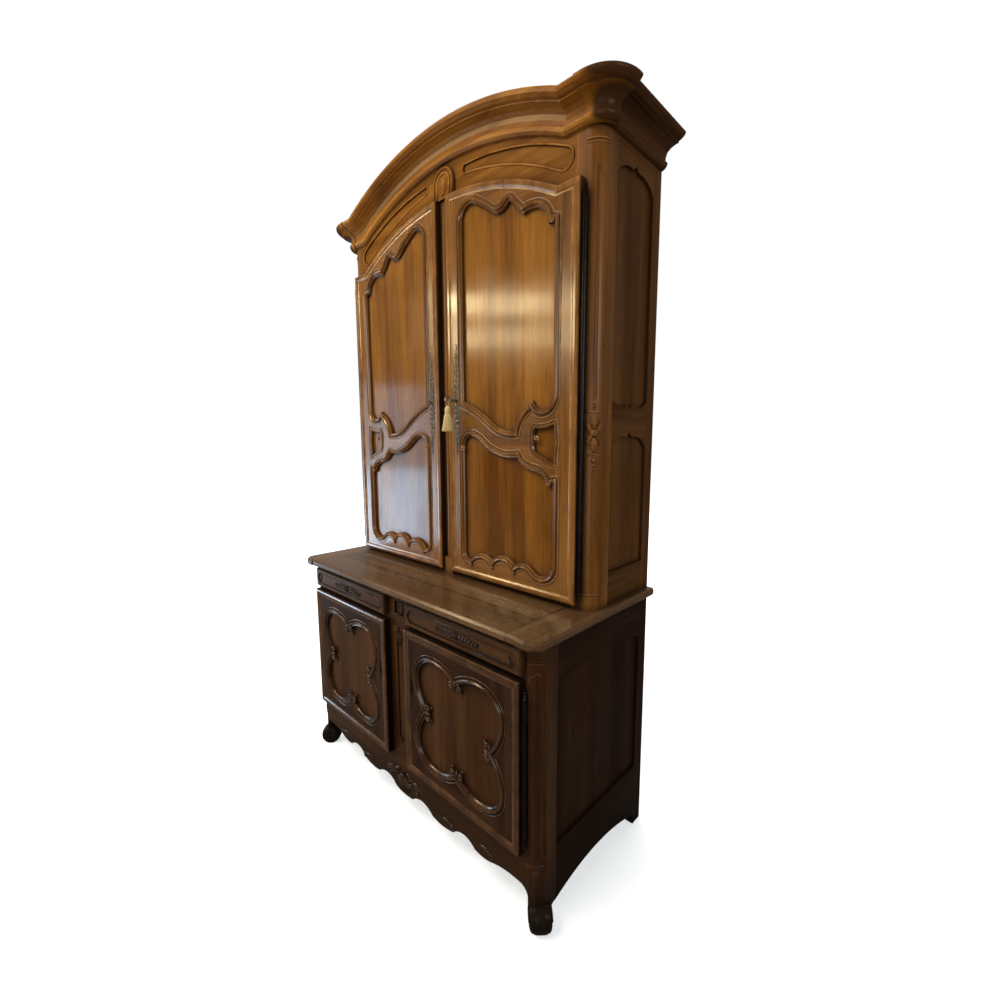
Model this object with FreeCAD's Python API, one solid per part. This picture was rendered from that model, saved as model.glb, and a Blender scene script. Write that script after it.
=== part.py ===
"""Two-piece walnut armoire: a low buffet with two drawers and two doors, and a tall
cupboard with two arched doors standing on it under an arched cornice.

Millimetres.  X runs to the right, Y to the back and Z up.  The origin lies on the floor,
under the middle of the piece.  The right-hand pieces are modelled and the left-hand ones
are their mirror images.
"""
import FreeCAD
import Part
import math
import os

Vector = FreeCAD.Vector

# Both cases
CASE_HALF = 710.0           # half the width over the side faces
BACK_Y = 370.0              # back face
LOWER_FACE_Y = -298.0       # front face of the buffet's frame
UPPER_FACE_Y = -20.0        # front face of the cupboard's frame
CORNER_R = 50.0             # quarter round on the front posts
POST_W = 85.0               # front posts, seen from the front
POST_D = 95.0               # front posts, seen from the side
BACK_POST = 55.0            # square back posts
RAIL_T = 26.0               # front rails, stiles and apron
SIDE_T = 24.0               # side rails
SIDE_FACE_T = 10.0          # shaped front layer of a side rail, in front of the panel
SIDE_PANEL_T = 11.5
BOARD_T = 18.0              # floors, shelves and roof
BACK_T = 14.0               # back boards
BACK_BOARDS = 7
CLEAT = 24.0                # shelf cleats, square
FIT = 0.5                   # clearance of a board in its frame
SPARE = 1.0                 # a cutting shape past the face that it cuts

# Buffet, from the floor up
LOWER_DOOR_Z = 264.0        # underside of the lower doors
LOWER_DOOR_H = 579.0
DRAWER_GAP = 16.0           # from the lower doors to the drawers
DRAWER_H = 85.0             # drawer fronts
DRAWER_TOP_GAP = 15.0       # from the drawer fronts to the top
TOP_T = 30.0                # buffet top
TOP_OVERHANG = 28.0         # buffet top past the side faces
TOP_FRONT_Y = -340.0        # front edge of the buffet top
TOP_CORNER_R = 52.0         # rounded corners of the buffet top
TOP_STEP = 5.0              # the corners stand this far in front of the front edge
TOP_STEP_IN = 40.0          # the step is this far inside the side faces
NOSING = 14.0               # depth of the rounded edge of the buffet top
BREADBOARD_W = 95.0         # end boards of the buffet top
FRONT_BOARD_W = 149.0       # front board of the buffet top
LEG_Z = 215.0               # the post turns into the leg here
LEG_ARCH_Z = 145.0          # underside of the post beside the leg
LEG_IN = 45.0               # leg inside the post's inner face
LEG_BEND = 33.0             # round from the post down to the leg
LEG_D = 68.0                # depth of the leg
LEG_BACK_BEND = 22.0        # round from the side rail down to the leg
ANKLE_Z = 75.0              # the leg narrows to the foot from here
ANKLE_FRONT = 24.0          # ankle in front of and behind the foot's middle
ANKLE_BACK = 22.0
FOOT_R = 42.0               # scroll foot
FOOT_W = 58.0
FOOT_FLAT = 1.0             # worn flat under the scroll
FOOT_EYE_R = 19.0           # raised eye of the scroll
FOOT_EYE_OUT = 4.0
FOOT_IN = 14.0              # foot's middle inside the side face
FOOT_BEHIND = 32.0          # foot's middle behind the front face
APRON_TOP_LAP = 26.0        # apron and rails behind the doors' edges
# Scallops of the apron from the post to the pendant: start as a share of the way, level and rise
APRON_SCALLOPS = ((1.0, LEG_ARCH_Z, 5.0), (0.81, 129.0, -7.0), (0.647, 121.0, 24.0), (0.446, 115.0, -9.0),
                  (0.224, 108.0, 25.0))
APRON_PENDANT_HALF = 58.0
APRON_PENDANT_Z = 104.0
APRON_PENDANT_DROP = 6.0
SIDE_APRON_Z = 62.0         # lowest edge of the side rails at the leg
SIDE_APRON_BACK_Z = 40.0    # lowest edge of the side rails at the back post
SIDE_APRON_RISE = 43.0
LOWER_PANEL_DROP = 6.0      # lower edge of the side panels below the doors
SIDE_TOP_RAIL_H = 100.0
LOWER_SHELF_H = 281.0       # shelf above the underside of the doors
LOWER_SHELF_SETBACK = 150.0

# Lower doors and drawers
OVERLAY_T = 31.5            # doors: thickness in front of the frame
LIP_W = 30.0                # raised lip round a door
LIP_H = 6.0
SEAT_GAP = 0.5              # between a closed door and the frame
TONGUE_T = 8.0              # rebate of a door that enters the opening
TONGUE_GAP = 4.0
LOWER_DOOR_IN = 65.0        # inner edge of the lower doors
POST_LAP = 32.0             # doors and drawers over the front posts
STILE_LAP = 19.0            # lower doors over the stile between them
DRAWER_IN = 73.0            # inner end of the drawer fronts
DRAWER_T = 23.5
DRAWER_DEPTH = 520.0
DRAWER_SIDE_T = 12.0
DRAWER_BOTTOM_T = 8.0
DRAWER_PLAY = 3.0           # beside and above the drawer box
DRAWER_SEAT = 0.3           # drawer above its runner
DRAWER_CHAMFER = 5.0
DRAWER_FIELD_IN = 17.0      # border of the drawer front's field
DRAWER_FIELD_DEPTH = 4.0
DRAWER_FIELD_R = 14.0       # incurved corners of the field
MUNTIN_LAP = 17.0           # drawer fronts over the upright between them
RUNNER_W = 32.0
RUNNER_H = 20.0
LAP = 8.0                   # drawer lips over the frame
MUNTIN_PANEL = 26.0         # small square field on the upright, half its width
CENTRE_FLUTE_HALF = 20.0
CENTRE_FLUTE_END = 60.0     # flute short of the ends of the stile
CENTRE_FLUTE_POINT = 20.0
CENTRE_FLUTE_ROUND = 18.0
FLUTE_DEPTH = 5.0

# Lower door moulding: an elongated quatrefoil
QUATREFOIL_SIDE = 66.0      # from the door's sides to the lobes
QUATREFOIL_END = 69.5       # from the door's top and bottom to the lobes
CUSP_IN_X = 52.0            # depth of the side cusps
CUSP_IN_Z = 34.0            # depth of the top and bottom cusps
LOBE_SHOULDER_X = 80.0
LOBE_SHOULDER_Z = 120.0
LOBE_BULGE = 30.0
LOWER_STUB = 4.0            # shoulder of the lower door's rails inside the side cusps

# Cupboard, from the buffet top up
UPPER_DOOR_LIFT = 17.0      # underside of the upper doors above the buffet top
UPPER_DOOR_IN = 30.0
UPPER_RAIL_H = 41.0         # bottom rail
CENTRE_LAP = 25.0           # upper doors over the centre post
CENTRE_POST_T = 35.0
RIDGE_HALF = 15.0
RIDGE_H = 12.0
PLINTH_HALF = 26.0
PLINTH_H = 70.0
PLINTH_OUT = 3.0            # plinth in front of the ridge
ARCH_CENTRE_H = 356.0       # middle of all the arches above the buffet top
OPENING_R = 1130.0          # arch of the door opening
ARCH_LAP = 23.0             # doors over the arch
DOOR_EAR = 87.0             # level length at the outer end of the doors' arch
FRIEZE_H = 151.0            # from the opening to the cornice
FRIEZE_FIELD_LIFT = 65.0    # sunk field above the opening
FRIEZE_FIELD_H = 71.0
FRIEZE_FIELD_IN = 112.0     # inner end of the field
FRIEZE_FIELD_OUT = 20.0     # outer end of the field before the posts
FRIEZE_FIELD_DEPTH = 4.0
FRIEZE_FIELD_SLANT = 30.0   # its outer end leans in by this much
FRIEZE_FIELD_ROUND = 26.0
FRIEZE_FIELD_PINCH = 20.0   # narrowing of its inner end
FRIEZE_FIELD_NIP = 6.0
CORNICE_EAR = 80.0          # level length of the cornice before the posts' rounded corner
CORNICE_CORNER_R = 18.0     # round of the cornice's own corner
CORNER_BLOCK_ANGLE = 20.0   # glue block between the two rounds stops this short of their ends
CORNICE_H = 106.0
RETURN_GAP = 0.3            # cornice beside the side frames
FRIEZE_BEHIND = 60.0        # frieze hidden behind the cornice
FRIEZE_T = 28.0
POST_BEHIND = 78.0          # posts hidden behind the cornice
KEYSTONE_HALF = 60.0
KEYSTONE_RISE = 116.0       # keystone above the doors' arch
KEYSTONE_T = 9.0
KEYSTONE_ROUND = 54.0       # rise of its rounded head
KEYSTONE_GAP = 2.0          # keystone above the doors
ROOT = 4.0                  # how far a raised piece is let into the board that carries it
UPPER_PANEL_H = 115.0       # lower edge of the lower side panels above the buffet top
UPPER_MID_H = 601.0         # mid rail of the sides and of the doors above the buffet top
SIDE_MID_H = 70.0
SIDE_CREST = 60.0           # rise of the shaped edges of the side rails
SIDE_CREST_UP = 30.0        # rise of the upper edge of the mid rail
CREST_SHARE = 0.16          # shoulders of a crest beside its middle
CREST_SHOULDER = 0.35
CREST_TIP = 3.0
CREST_HOLLOW = 9.0
CREST_SWELL = 8.0
SIDE_TOP_DROP = 42.0        # core of the side top rail below the cornice
ROOF_DROP = 18.0            # roof boards above the cornice's lower edge
SHELF_H = (401.0, 761.0, 1121.0)    # shelves above the buffet top
SHELF_Y = 80.0              # front edge of the shelves
INNER_STILE = 70.0
STUB = 6.0                  # shoulder of the rails inside the panels' edge
OUTER_STILE = 77.0
STRIP_W = 20.0              # panel moulding
STRIP_BED = 12.0            # panel behind the flat of the door
CARTOUCHE_W = 11.0          # narrower moulding of the small panel
TRIM_GAP = 0.15             # moulding beside the edge of its opening
PANEL_T = 10.0
DOWEL_R = 6.0
DOWEL_L = 32.0
DOWEL_UP = 15.0
DOWEL_Y = (110.0, 280.0)
DOWEL_PLAY = 0.05

# Post decoration: flutes and incised rings
POST_FLUTE_R = 7.0
POST_FLUTE_BITE = 3.5
LOWER_FLUTE_FOOT = 30.0     # above the leg
LOWER_FLUTE_TOP = 10.0      # below the drawers
UPPER_FLUTE_TOP = 110.0     # below the cornice
UPPER_FLUTE_MID = (472.0, 696.0)    # the flutes stop here for the carved drop, above the buffet top
UPPER_FLUTE_FOOT = 54.0     # above the buffet top

# Ironwork
BARREL_R = 7.0
PIN_R = 3.5
PIN_PLAY = 0.05
KNUCKLE_GAP = 0.4
BARREL_BESIDE = 11.0        # hinge axis beyond the door's edge
BARREL_BEHIND = 16.0        # hinge axis behind the door's front
LEAF_T = 3.0
LEAF_H = 60.0
LEAF_PLAY = 0.2
LEAF_IN_DOOR = 14.0
LEAF_IN_POST = 24.0
FINIAL_H = 26.0
# radius, past the barrel
FINIAL_PROFILE = ((4.0, 6.0), (6.0, 10.0), (3.0, 16.0), (5.5, 21.0), (3.0, FINIAL_H))
PLATE_T = 1.6               # escutcheons
UPPER_LOCK_H = 726.0        # upper keyholes above the buffet top
LOWER_LOCK_H = 356.0        # lower keyholes above the underside of the doors
LOWER_LOCK_IN = 41.0        # lower keyholes inside the doors' edge
PLATE_WAIST = 0.42          # narrow places of a plate against the wide ones
PLATE_TAPER = 0.55
PLATE_ROUND = 3.0
UPPER_PLATE_HALF_H = 220.0
LOWER_PLATE_HALF_H = 34.0
UPPER_PLATE_HALF_W = 18.0
LOWER_PLATE_HALF_W = 9.5
CASE_BESIDE = 4.0           # lock case beside the upright that the bolt enters
CASE_W = 50.0
CASE_H = 84.0
CASE_T = 16.0
CASE_WALL = 1.6
KEY_R = 4.0
KEY_PLAY = 0.05
BIT_REACH = 13.0
BIT_T = 4.0
BIT_PLAY = 0.4
KEYHOLE_PLAY = 1.0          # keyhole in the wood round the key
KEY_SLOT = 15.0
KEY_OUT = 62.0              # key in front of the door's stile
BOW_R = 13.0
BOW_WIRE = 3.0
BOW_REST_R = 3.3            # straight round rest in the bow, where the tassel hangs
BOW_REST_L = 8.0
KEY_COLLAR_R = 6.5
KEY_COLLAR_T = 5.0
KEY_COLLAR_AT = 4.0         # collar behind the bow
KEY_END_GAP = 1.0           # bit inside the lock case
BOLT_H = 10.0
BOLT_T = 8.0
BOLT_L = 36.0
BOLT_ABOVE = 17.0           # bolt above the key
BOLT_THROW = 14.0
BOLT_PLAY = 0.2
MORTISE_PLAY = 1.0
LOOP_R = 8.0
LOOP_WIRE = 1.5
LOOP_PLAY = 0.5
TASSEL_LAP = 1.0            # head over the loop

# Profiles: (across, out), where out is away from the carrying face
STRIP_PROFILE = ((TRIM_GAP, -STRIP_BED), (TRIM_GAP, 1.5), (2, 5), (6, 8), (11, 6), (13, 1), (16, 2),
                 (STRIP_W, -2), (STRIP_W, -STRIP_BED))
CARTOUCHE_PROFILE = ((TRIM_GAP, -STRIP_BED), (TRIM_GAP, 1.5), (3, 4), (7, 4), (CARTOUCHE_W, -2),
                     (CARTOUCHE_W, -STRIP_BED))
LIP_PROFILE = ((1.5, 0), (1.5, 2), (4, 4.5), (10, LIP_H), (19, 5), (25, 1.5), (LIP_W, 0.7), (LIP_W, 0))
NOSING_PROFILE = ((4, 0), (-8, 0), (-NOSING, 8), (-NOSING, 22), (-8, TOP_T), (4, TOP_T))
CORNICE_PROFILE = ((0, 0), (3, 9), (10, 17), (17, 20), (22, 20), (26, 13), (40, 13), (54, 18), (64, 30),
                   (70, 48), (71, 58), (76, 58), (79, 67), (87, 78), (95, 82), (102, 78), (CORNICE_H, 70),
                   (CORNICE_H, 0))

# Tassel from its head down: radius and drop
TASSEL_PROFILE = ((0, 0), (4, 0), (9, 4), (12.5, 12), (11.5, 21), (8.5, 25), (9.5, 28), (8.5, 31),
                  (13, 38), (16.5, 62), (18, 90), (19, 100), (0, 100))

# Marks for runs of an outline that have no bulge of their own
FROM_LAST = "from last"
INTO_NEXT = "into next"
MARKS = (FROM_LAST, INTO_NEXT)

# Panels of the upper doors: (share of the width, distance from the level they hang on, bulge)
UPPER_PANEL_FOOT = ((0.0, 105, 8), (0.337, 20, FROM_LAST), (0.635, -20, 14), (0.763, 73, INTO_NEXT),
                    (1.0, 115, 0))
UPPER_PANEL_HEAD = ((1.0, 80, 0), (0.945, 91, -15), (0.80, 61, FROM_LAST), (0.687, 84, INTO_NEXT),
                    (0.60, 55, INTO_NEXT), (0.50, 69, INTO_NEXT), (0.40, 86, INTO_NEXT),
                    (0.30, 63, INTO_NEXT), (0.20, 45, INTO_NEXT), (0.0, 115, 0))
LOWER_PANEL_FOOT = ((0.0, 94, FROM_LAST), (0.12, 52, 28), (0.365, 61, 34), (0.598, 61, INTO_NEXT),
                    (0.765, 70, INTO_NEXT), (0.875, 52, INTO_NEXT), (1.0, 119, 0))
LOWER_PANEL_HEAD = ((1.0, -158, 0), (0.94, -166, -10), (0.78, -120, FROM_LAST), (0.65, -73, INTO_NEXT),
                    (0.281, -28, INTO_NEXT), (0.135, 2, INTO_NEXT), (0.0, -57, 0))
CARTOUCHE = ((0.79, -82, 0), (0.99, -126, 2), (1.0, -42, 2), (0.99, 32, 7), (0.79, 17, -8), (0.77, -38, -6))

# Worked-out places
LOWER_DOOR_TOP = LOWER_DOOR_Z + LOWER_DOOR_H
DRAWER_Z = LOWER_DOOR_TOP + DRAWER_GAP
DRAWER_TOP = DRAWER_Z + DRAWER_H
TOP_UNDER = DRAWER_TOP + DRAWER_TOP_GAP
TOP_Z = TOP_UNDER + TOP_T
UPPER_DOOR_Z = TOP_Z + UPPER_DOOR_LIFT
ARCH_Z = TOP_Z + ARCH_CENTRE_H
POST_IN = CASE_HALF - POST_W
DOOR_OUT = POST_IN + POST_LAP
LOWER_STILE_HALF = LOWER_DOOR_IN + STILE_LAP
MUNTIN_HALF = DRAWER_IN + MUNTIN_LAP
CENTRE_POST_HALF = UPPER_DOOR_IN + CENTRE_LAP
QUATREFOIL_W = (DOOR_OUT - LOWER_DOOR_IN) / 2 - QUATREFOIL_SIDE
QUATREFOIL_H = LOWER_DOOR_H / 2 - QUATREFOIL_END
LOWER_PANEL_Z = LOWER_DOOR_Z - LOWER_PANEL_DROP
LOWER_SHELF_Z = LOWER_DOOR_Z + LOWER_SHELF_H
UPPER_PANEL_Z = TOP_Z + UPPER_PANEL_H
UPPER_MID_Z = TOP_Z + UPPER_MID_H
DOOR_R = OPENING_R + ARCH_LAP
CORNICE_R = OPENING_R + FRIEZE_H
DOOR_EAR_X = DOOR_OUT - DOOR_EAR
UPPER_LOCK = (UPPER_DOOR_IN + (LIP_W + INNER_STILE) / 2, TOP_Z + UPPER_LOCK_H)
LOWER_LOCK = (LOWER_DOOR_IN + LOWER_LOCK_IN, LOWER_DOOR_Z + LOWER_LOCK_H)
ROUND_X = CASE_HALF - CORNER_R
CORNICE_EAR_X = ROUND_X - CORNICE_EAR
PANEL_X = CASE_HALF - SIDE_FACE_T
SIDE_IN = CASE_HALF - SIDE_T
HINGE_X = DOOR_OUT + BARREL_BESIDE
BACK_IN = BACK_Y - BACK_T
BACK_POST_Y = BACK_Y - BACK_POST
BACK_POST_X = CASE_HALF - BACK_POST


def arch(radius, x):
    """Height of an arch at a distance from the middle."""
    return ARCH_Z + math.sqrt(radius ** 2 - x ** 2)


CORNICE_Z = arch(CORNICE_R, CORNICE_EAR_X)
DOOR_EAR_Z = arch(DOOR_R, DOOR_EAR_X)
POST_TOP = CORNICE_Z + POST_BEHIND
ROOF_Z = CORNICE_Z + ROOF_DROP

# Directions in which the three kinds of outline are looked at
FACING = {"front": Vector(0, -1, 0), "plan": Vector(0, 0, 1), "side": Vector(1, 0, 0)}


def box(x0, x1, y0, y1, z0, z1):
    """Board between two corners."""
    return Part.makeBox(x1 - x0, y1 - y0, z1 - z0, Vector(x0, y0, z0))


def place(plane, a, b, at, out=0.0):
    """Point of an outline drawn at a depth, moved out of its plane."""
    point = {"front": Vector(a, at, b), "plan": Vector(a, b, at), "side": Vector(at, a, b)}[plane]
    return point + FACING[plane] * out


def sagitta(radius, chord):
    """Height of a shallow arc over its chord."""
    return radius - math.sqrt(radius ** 2 - chord ** 2 / 4.0)


def runs_of(outline, closed=True):
    """Runs of an outline of (a, b, bulge): start, end and bulge to the left of the way.

    A run marked FROM_LAST leaves the run before it smoothly, and one marked INTO_NEXT goes
    smoothly into the run after it."""
    count = len(outline) if closed else len(outline) - 1
    runs = []
    for i in range(count):
        nxt = outline[(i + 1) % len(outline)]
        runs.append(((outline[i][0], outline[i][1]), (nxt[0], nxt[1]), outline[i][2]))
    for _ in range(count):
        for i, (start, end, bulge) in enumerate(runs):
            if bulge == FROM_LAST and runs[i - 1][2] not in MARKS:
                runs[i] = (start, end, smooth_bulge(start, end, tangents(*runs[i - 1])[1], 1.0))
            elif bulge == INTO_NEXT and runs[(i + 1) % count][2] not in MARKS:
                runs[i] = (start, end, smooth_bulge(start, end, tangents(*runs[(i + 1) % count])[0], -1.0))
    return runs


def smooth_bulge(start, end, tangent, sign):
    """Bulge of a run that has the tangent at its start (sign 1) or at its end (sign -1)."""
    left, chord = left_of(start, end)
    along = (left[1], -left[0])
    cross = tangent[0] * along[1] - tangent[1] * along[0]
    dot = tangent[0] * along[0] + tangent[1] * along[1]
    return -sign * chord / 2.0 * math.tan(math.atan2(cross, dot) / 2.0)


def left_of(start, end):
    """Unit vector to the left of the way, and the distance."""
    da, db = end[0] - start[0], end[1] - start[1]
    length = math.hypot(da, db)
    return (-db / length, da / length), length


def wire(plane, outline, at, out=0.0):
    """Closed wire of an outline, with arcs where it bulges."""
    edges = []
    for start, end, bulge in runs_of(outline):
        p = place(plane, start[0], start[1], at, out)
        q = place(plane, end[0], end[1], at, out)
        if bulge:
            left, _ = left_of(start, end)
            middle = place(plane, (start[0] + end[0]) / 2 + left[0] * bulge,
                           (start[1] + end[1]) / 2 + left[1] * bulge, at, out)
            edges.append(Part.Arc(p, middle, q).toShape())
        else:
            edges.append(Part.LineSegment(p, q).toShape())
    return Part.Wire(edges)


def prism(plane, outline, low, high):
    """Solid of an outline between two depths."""
    way = {"front": Vector(0, 1, 0), "plan": Vector(0, 0, 1), "side": Vector(1, 0, 0)}[plane]
    return Part.Face(wire(plane, outline, low)).extrude(way * (high - low))


def shrunk(outline, by):
    """The same outline, smaller by a clearance all round."""
    across = [point[0] for point in outline]
    up = [point[1] for point in outline]
    ca, cb = (min(across) + max(across)) / 2, (min(up) + max(up)) / 2
    scale = 1.0 - 2.0 * by / min(max(across) - min(across), max(up) - min(up))
    return [(ca + (a - ca) * scale, cb + (b - cb) * scale, bulge if bulge in MARKS else bulge * scale)
            for a, b, bulge in outline]


def bent(start, end, bulge):
    """Middle, radius and turn of a round run, anticlockwise positive."""
    left, chord = left_of(start, end)
    radius = (chord ** 2 / 4.0 + bulge ** 2) / (2.0 * abs(bulge))
    side = math.copysign(1.0, bulge)
    reach = bulge - side * radius
    middle = ((start[0] + end[0]) / 2 + left[0] * reach, (start[1] + end[1]) / 2 + left[1] * reach)
    return middle, radius, -side * 4.0 * math.atan(2.0 * abs(bulge) / chord)


def tangents(start, end, bulge):
    """Directions in which a run starts and ends."""
    left, _ = left_of(start, end)
    along = (left[1], -left[0])
    half = 0.0
    if bulge:
        half = bent(start, end, bulge)[2] / 2.0
    return turned(along, -half), turned(along, half)


def turned(vector, angle):
    """Vector turned anticlockwise."""
    c, s = math.cos(angle), math.sin(angle)
    return (vector[0] * c - vector[1] * s, vector[0] * s + vector[1] * c)


def polygon(points):
    """Face through straight edges."""
    return Part.Face(Part.makePolygon(points + points[:1]))


def mitre_block(plane, at, corner, way, reach, depth):
    """Block beyond a mitre, on the side that the way points to."""
    across = (-way[1], way[0])
    size = 3.0 * reach + 10.0
    quad = []
    for along, side in ((0, -1), (1, -1), (1, 1), (0, 1)):
        quad.append((corner[0] + way[0] * size * along + across[0] * size * side,
                     corner[1] + way[1] * size * along + across[1] * size * side, 0.0))
    return prism(plane, quad, at - depth, at + depth)


def moulding(plane, outline, at, profile, closed=True):
    """Lengths of moulding along an outline, mitred where the runs meet at an angle.

    The profile's across is to the left of the way.  A straight run is a prism and a round
    run is a ring sector about its middle."""
    runs = runs_of(outline, closed)
    reach = max(abs(p[0]) for p in profile)
    depth = 2.0 * max(abs(p[1]) for p in profile) + 10.0
    lengths = []
    for i, (start, end, bulge) in enumerate(runs):
        first, last = tangents(start, end, bulge)
        joints = []
        for k, own, other_index in ((0, first, i - 1), (1, last, i + 1)):
            if not closed and not 0 <= other_index < len(runs):
                joints.append(None)
                continue
            other = tangents(*runs[other_index % len(runs)])[1 - k]
            turn = math.acos(max(-1.0, min(1.0, own[0] * other[0] + own[1] * other[1])))
            joints.append((other, turn) if turn > 0.02 else None)
        spare = [reach * math.tan(j[1] / 2.0) + 1.0 if j else 0.0 for j in joints]
        length = run_solid(plane, at, profile, (start, end, bulge), spare)
        for joint, own, corner, sign in ((joints[0], first, start, -1.0), (joints[1], last, end, 1.0)):
            if joint:
                way = (own[0] + joint[0][0], own[1] + joint[0][1])
                size = math.hypot(way[0], way[1])
                way = (sign * way[0] / size, sign * way[1] / size)
                length = length.cut(mitre_block(plane, at, corner, way, reach, depth))
        lengths.append(length)
    return lengths


def run_solid(plane, at, profile, run, spare):
    """One length of moulding, with spare length at both ends."""
    start, end, bulge = run
    left, chord = left_of(start, end)
    along = (left[1], -left[0])
    if not bulge:
        a, b = start[0] - along[0] * spare[0], start[1] - along[1] * spare[0]
        face = polygon([place(plane, a + left[0] * n, b + left[1] * n, at, out) for n, out in profile])
        run_length = chord + spare[0] + spare[1]
        way = place(plane, along[0], along[1], 0.0) - place(plane, 0.0, 0.0, 0.0)
        return face.extrude(way * run_length)
    middle, radius, turn = bent(start, end, bulge)
    way = math.copysign(1.0, turn)
    inner = min(radius - way * n for n, _ in profile)
    before, after = [1.15 * s / min(inner, radius) for s in spare]
    spoke = ((start[0] - middle[0]) / radius, (start[1] - middle[1]) / radius)
    spoke = turned(spoke, -way * before)
    points = []
    for n, out in profile:
        r = radius - way * n
        points.append(place(plane, middle[0] + spoke[0] * r, middle[1] + spoke[1] * r, at, out))
    sweep = math.degrees(turn + way * (before + after))
    return polygon(points).revolve(place(plane, middle[0], middle[1], at), FACING[plane], sweep)


def joined(first, others):
    """One solid from pieces that overlap."""
    return first.multiFuse(others).removeSplitter()


def solids(shapes):
    """Several separate solids as one group."""
    return Part.makeCompound([s for shape in shapes for s in shape.Solids])


def mirrored(shape):
    """Left-hand piece of a right-hand one."""
    return shape.mirror(Vector(0, 0, 0), Vector(1, 0, 0))


def save(name, shape):
    """Write one piece."""
    shape.exportStep("parts/" + name + ".step")


def pair(name, shape):
    """Write a right-hand piece and its mirror image."""
    save(name + "_right", shape)
    save(name + "_left", mirrored(shape))


def turning(points, x, y):
    """Turned piece about an upright axis, from (radius, height) points."""
    face = polygon([Vector(x + r, y, z) for r, z in points])
    return face.revolve(Vector(x, y, 0), Vector(0, 0, 1), 360)


def frame_posts(low, high, face_y):
    """Room that the four posts of a case take, for notching boards round them."""
    blocks = []
    for side in (-1, 1):
        front = sorted((side * POST_IN, side * (CASE_HALF + FIT)))
        back = sorted((side * BACK_POST_X, side * (CASE_HALF + FIT)))
        blocks.append(box(front[0] - FIT, front[1] + FIT, face_y - FIT, face_y + POST_D + FIT, low, high))
        blocks.append(box(back[0] - FIT, back[1] + FIT, BACK_POST_Y - FIT, BACK_Y, low, high))
    return blocks


def case_board(z, front_y, face_y):
    """Floor, shelf or roof board, notched round the posts."""
    board = box(-SIDE_IN + FIT, SIDE_IN - FIT, front_y, BACK_IN - FIT, z, z + BOARD_T)
    for block in frame_posts(z - SPARE, z + BOARD_T + SPARE, face_y):
        board = board.cut(block)
    return board


def post_outline(x0, x1, y0, y1, radius):
    """Plan of a front post or leg: its outer front corner is a quarter round."""
    return ((x0, y0, 0), (x1 - radius, y0, -radius * (1 - math.sqrt(0.5))), (x1, y0 + radius, 0),
            (x1, y1, 0), (x0, y1, 0))


def post_flute(face_y, low, high):
    """Round-ended flute on the quarter round of a front post."""
    offset = (CORNER_R + POST_FLUTE_R - POST_FLUTE_BITE) * math.sqrt(0.5)
    x, y = ROUND_X + offset, face_y + CORNER_R - offset
    z0, z1 = low + POST_FLUTE_R, high - POST_FLUTE_R
    flute = Part.makeCylinder(POST_FLUTE_R, z1 - z0, Vector(x, y, z0))
    ends = [Part.makeSphere(POST_FLUTE_R, Vector(x, y, z)) for z in (z0, z1)]
    return flute.multiFuse(ends)


def leaf_slots(z_places, face_y):
    """Mortises for the hinge leaves in a post."""
    y = face_y - OVERLAY_T + BARREL_BEHIND
    half = LEAF_T / 2 + LEAF_PLAY
    return [box(HINGE_X - half, HINGE_X + half, y, y + LEAF_IN_POST + LEAF_PLAY, z - LEAF_H / 2 - LEAF_PLAY,
                z + LEAF_H / 2 + LEAF_PLAY) for z in z_places]


def knuckles(low, high):
    """Heights between which the five knuckles of a hinge lie; the even ones belong to the post."""
    step = (high - low) / 5.0
    return [(low + i * step, low + (i + 1) * step) for i in range(5)]


def middles(spans):
    """Middle height of each span."""
    return [(a + b) / 2.0 for a, b in spans]


def hinge_post_half(low, high, face_y):
    """Pin, post knuckles, turned finials and leaves of a barrel hinge."""
    y = face_y - OVERLAY_T + BARREL_BEHIND
    spans = knuckles(low, high)
    points = [(0, low - FINIAL_H)] + [(radius, low - past) for radius, past in reversed(FINIAL_PROFILE)]
    points.append((BARREL_R, low))
    for i, (a, b) in enumerate(spans):
        radius = PIN_R if i % 2 else BARREL_R
        points += [(radius, a), (radius, b)] if i else [(radius, b)]
    points += [(radius, high + past) for radius, past in FINIAL_PROFILE] + [(0, high + FINIAL_H)]
    leaves = [box(HINGE_X - LEAF_T / 2, HINGE_X + LEAF_T / 2, y, y + LEAF_IN_POST, z - LEAF_H / 2,
                  z + LEAF_H / 2) for z in middles(spans[0::2])]
    return joined(turning(points, HINGE_X, y), leaves)


def hinge_door_half(low, high, face_y):
    """Door knuckles with their leaves."""
    y = face_y - OVERLAY_T + BARREL_BEHIND
    halves = []
    for a, b in knuckles(low, high)[1::2]:
        z = (a + b) / 2.0
        leaf = box(DOOR_OUT - LEAF_IN_DOOR, HINGE_X, y - LEAF_T / 2, y + LEAF_T / 2, z - LEAF_H / 2, z
                   + LEAF_H / 2)
        bar = Part.makeCylinder(BARREL_R, b - a - 2 * KNUCKLE_GAP, Vector(HINGE_X, y, a + KNUCKLE_GAP))
        bore = Part.makeCylinder(PIN_R + PIN_PLAY, b - a, Vector(HINGE_X, y, a))
        halves.append(bar.fuse(leaf).cut(bore))
    return solids(halves)


def door_leaf_slots(low, high, face_y):
    """Mortises for the hinge leaves in the edge of a door."""
    y = face_y - OVERLAY_T + BARREL_BEHIND
    half = LEAF_T / 2 + LEAF_PLAY
    return [box(DOOR_OUT - LEAF_IN_DOOR - LEAF_PLAY, DOOR_OUT + SPARE, y - half, y + half,
                z - LEAF_H / 2 - LEAF_PLAY, z + LEAF_H / 2 + LEAF_PLAY)
            for z in middles(knuckles(low, high)[1::2])]


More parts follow.
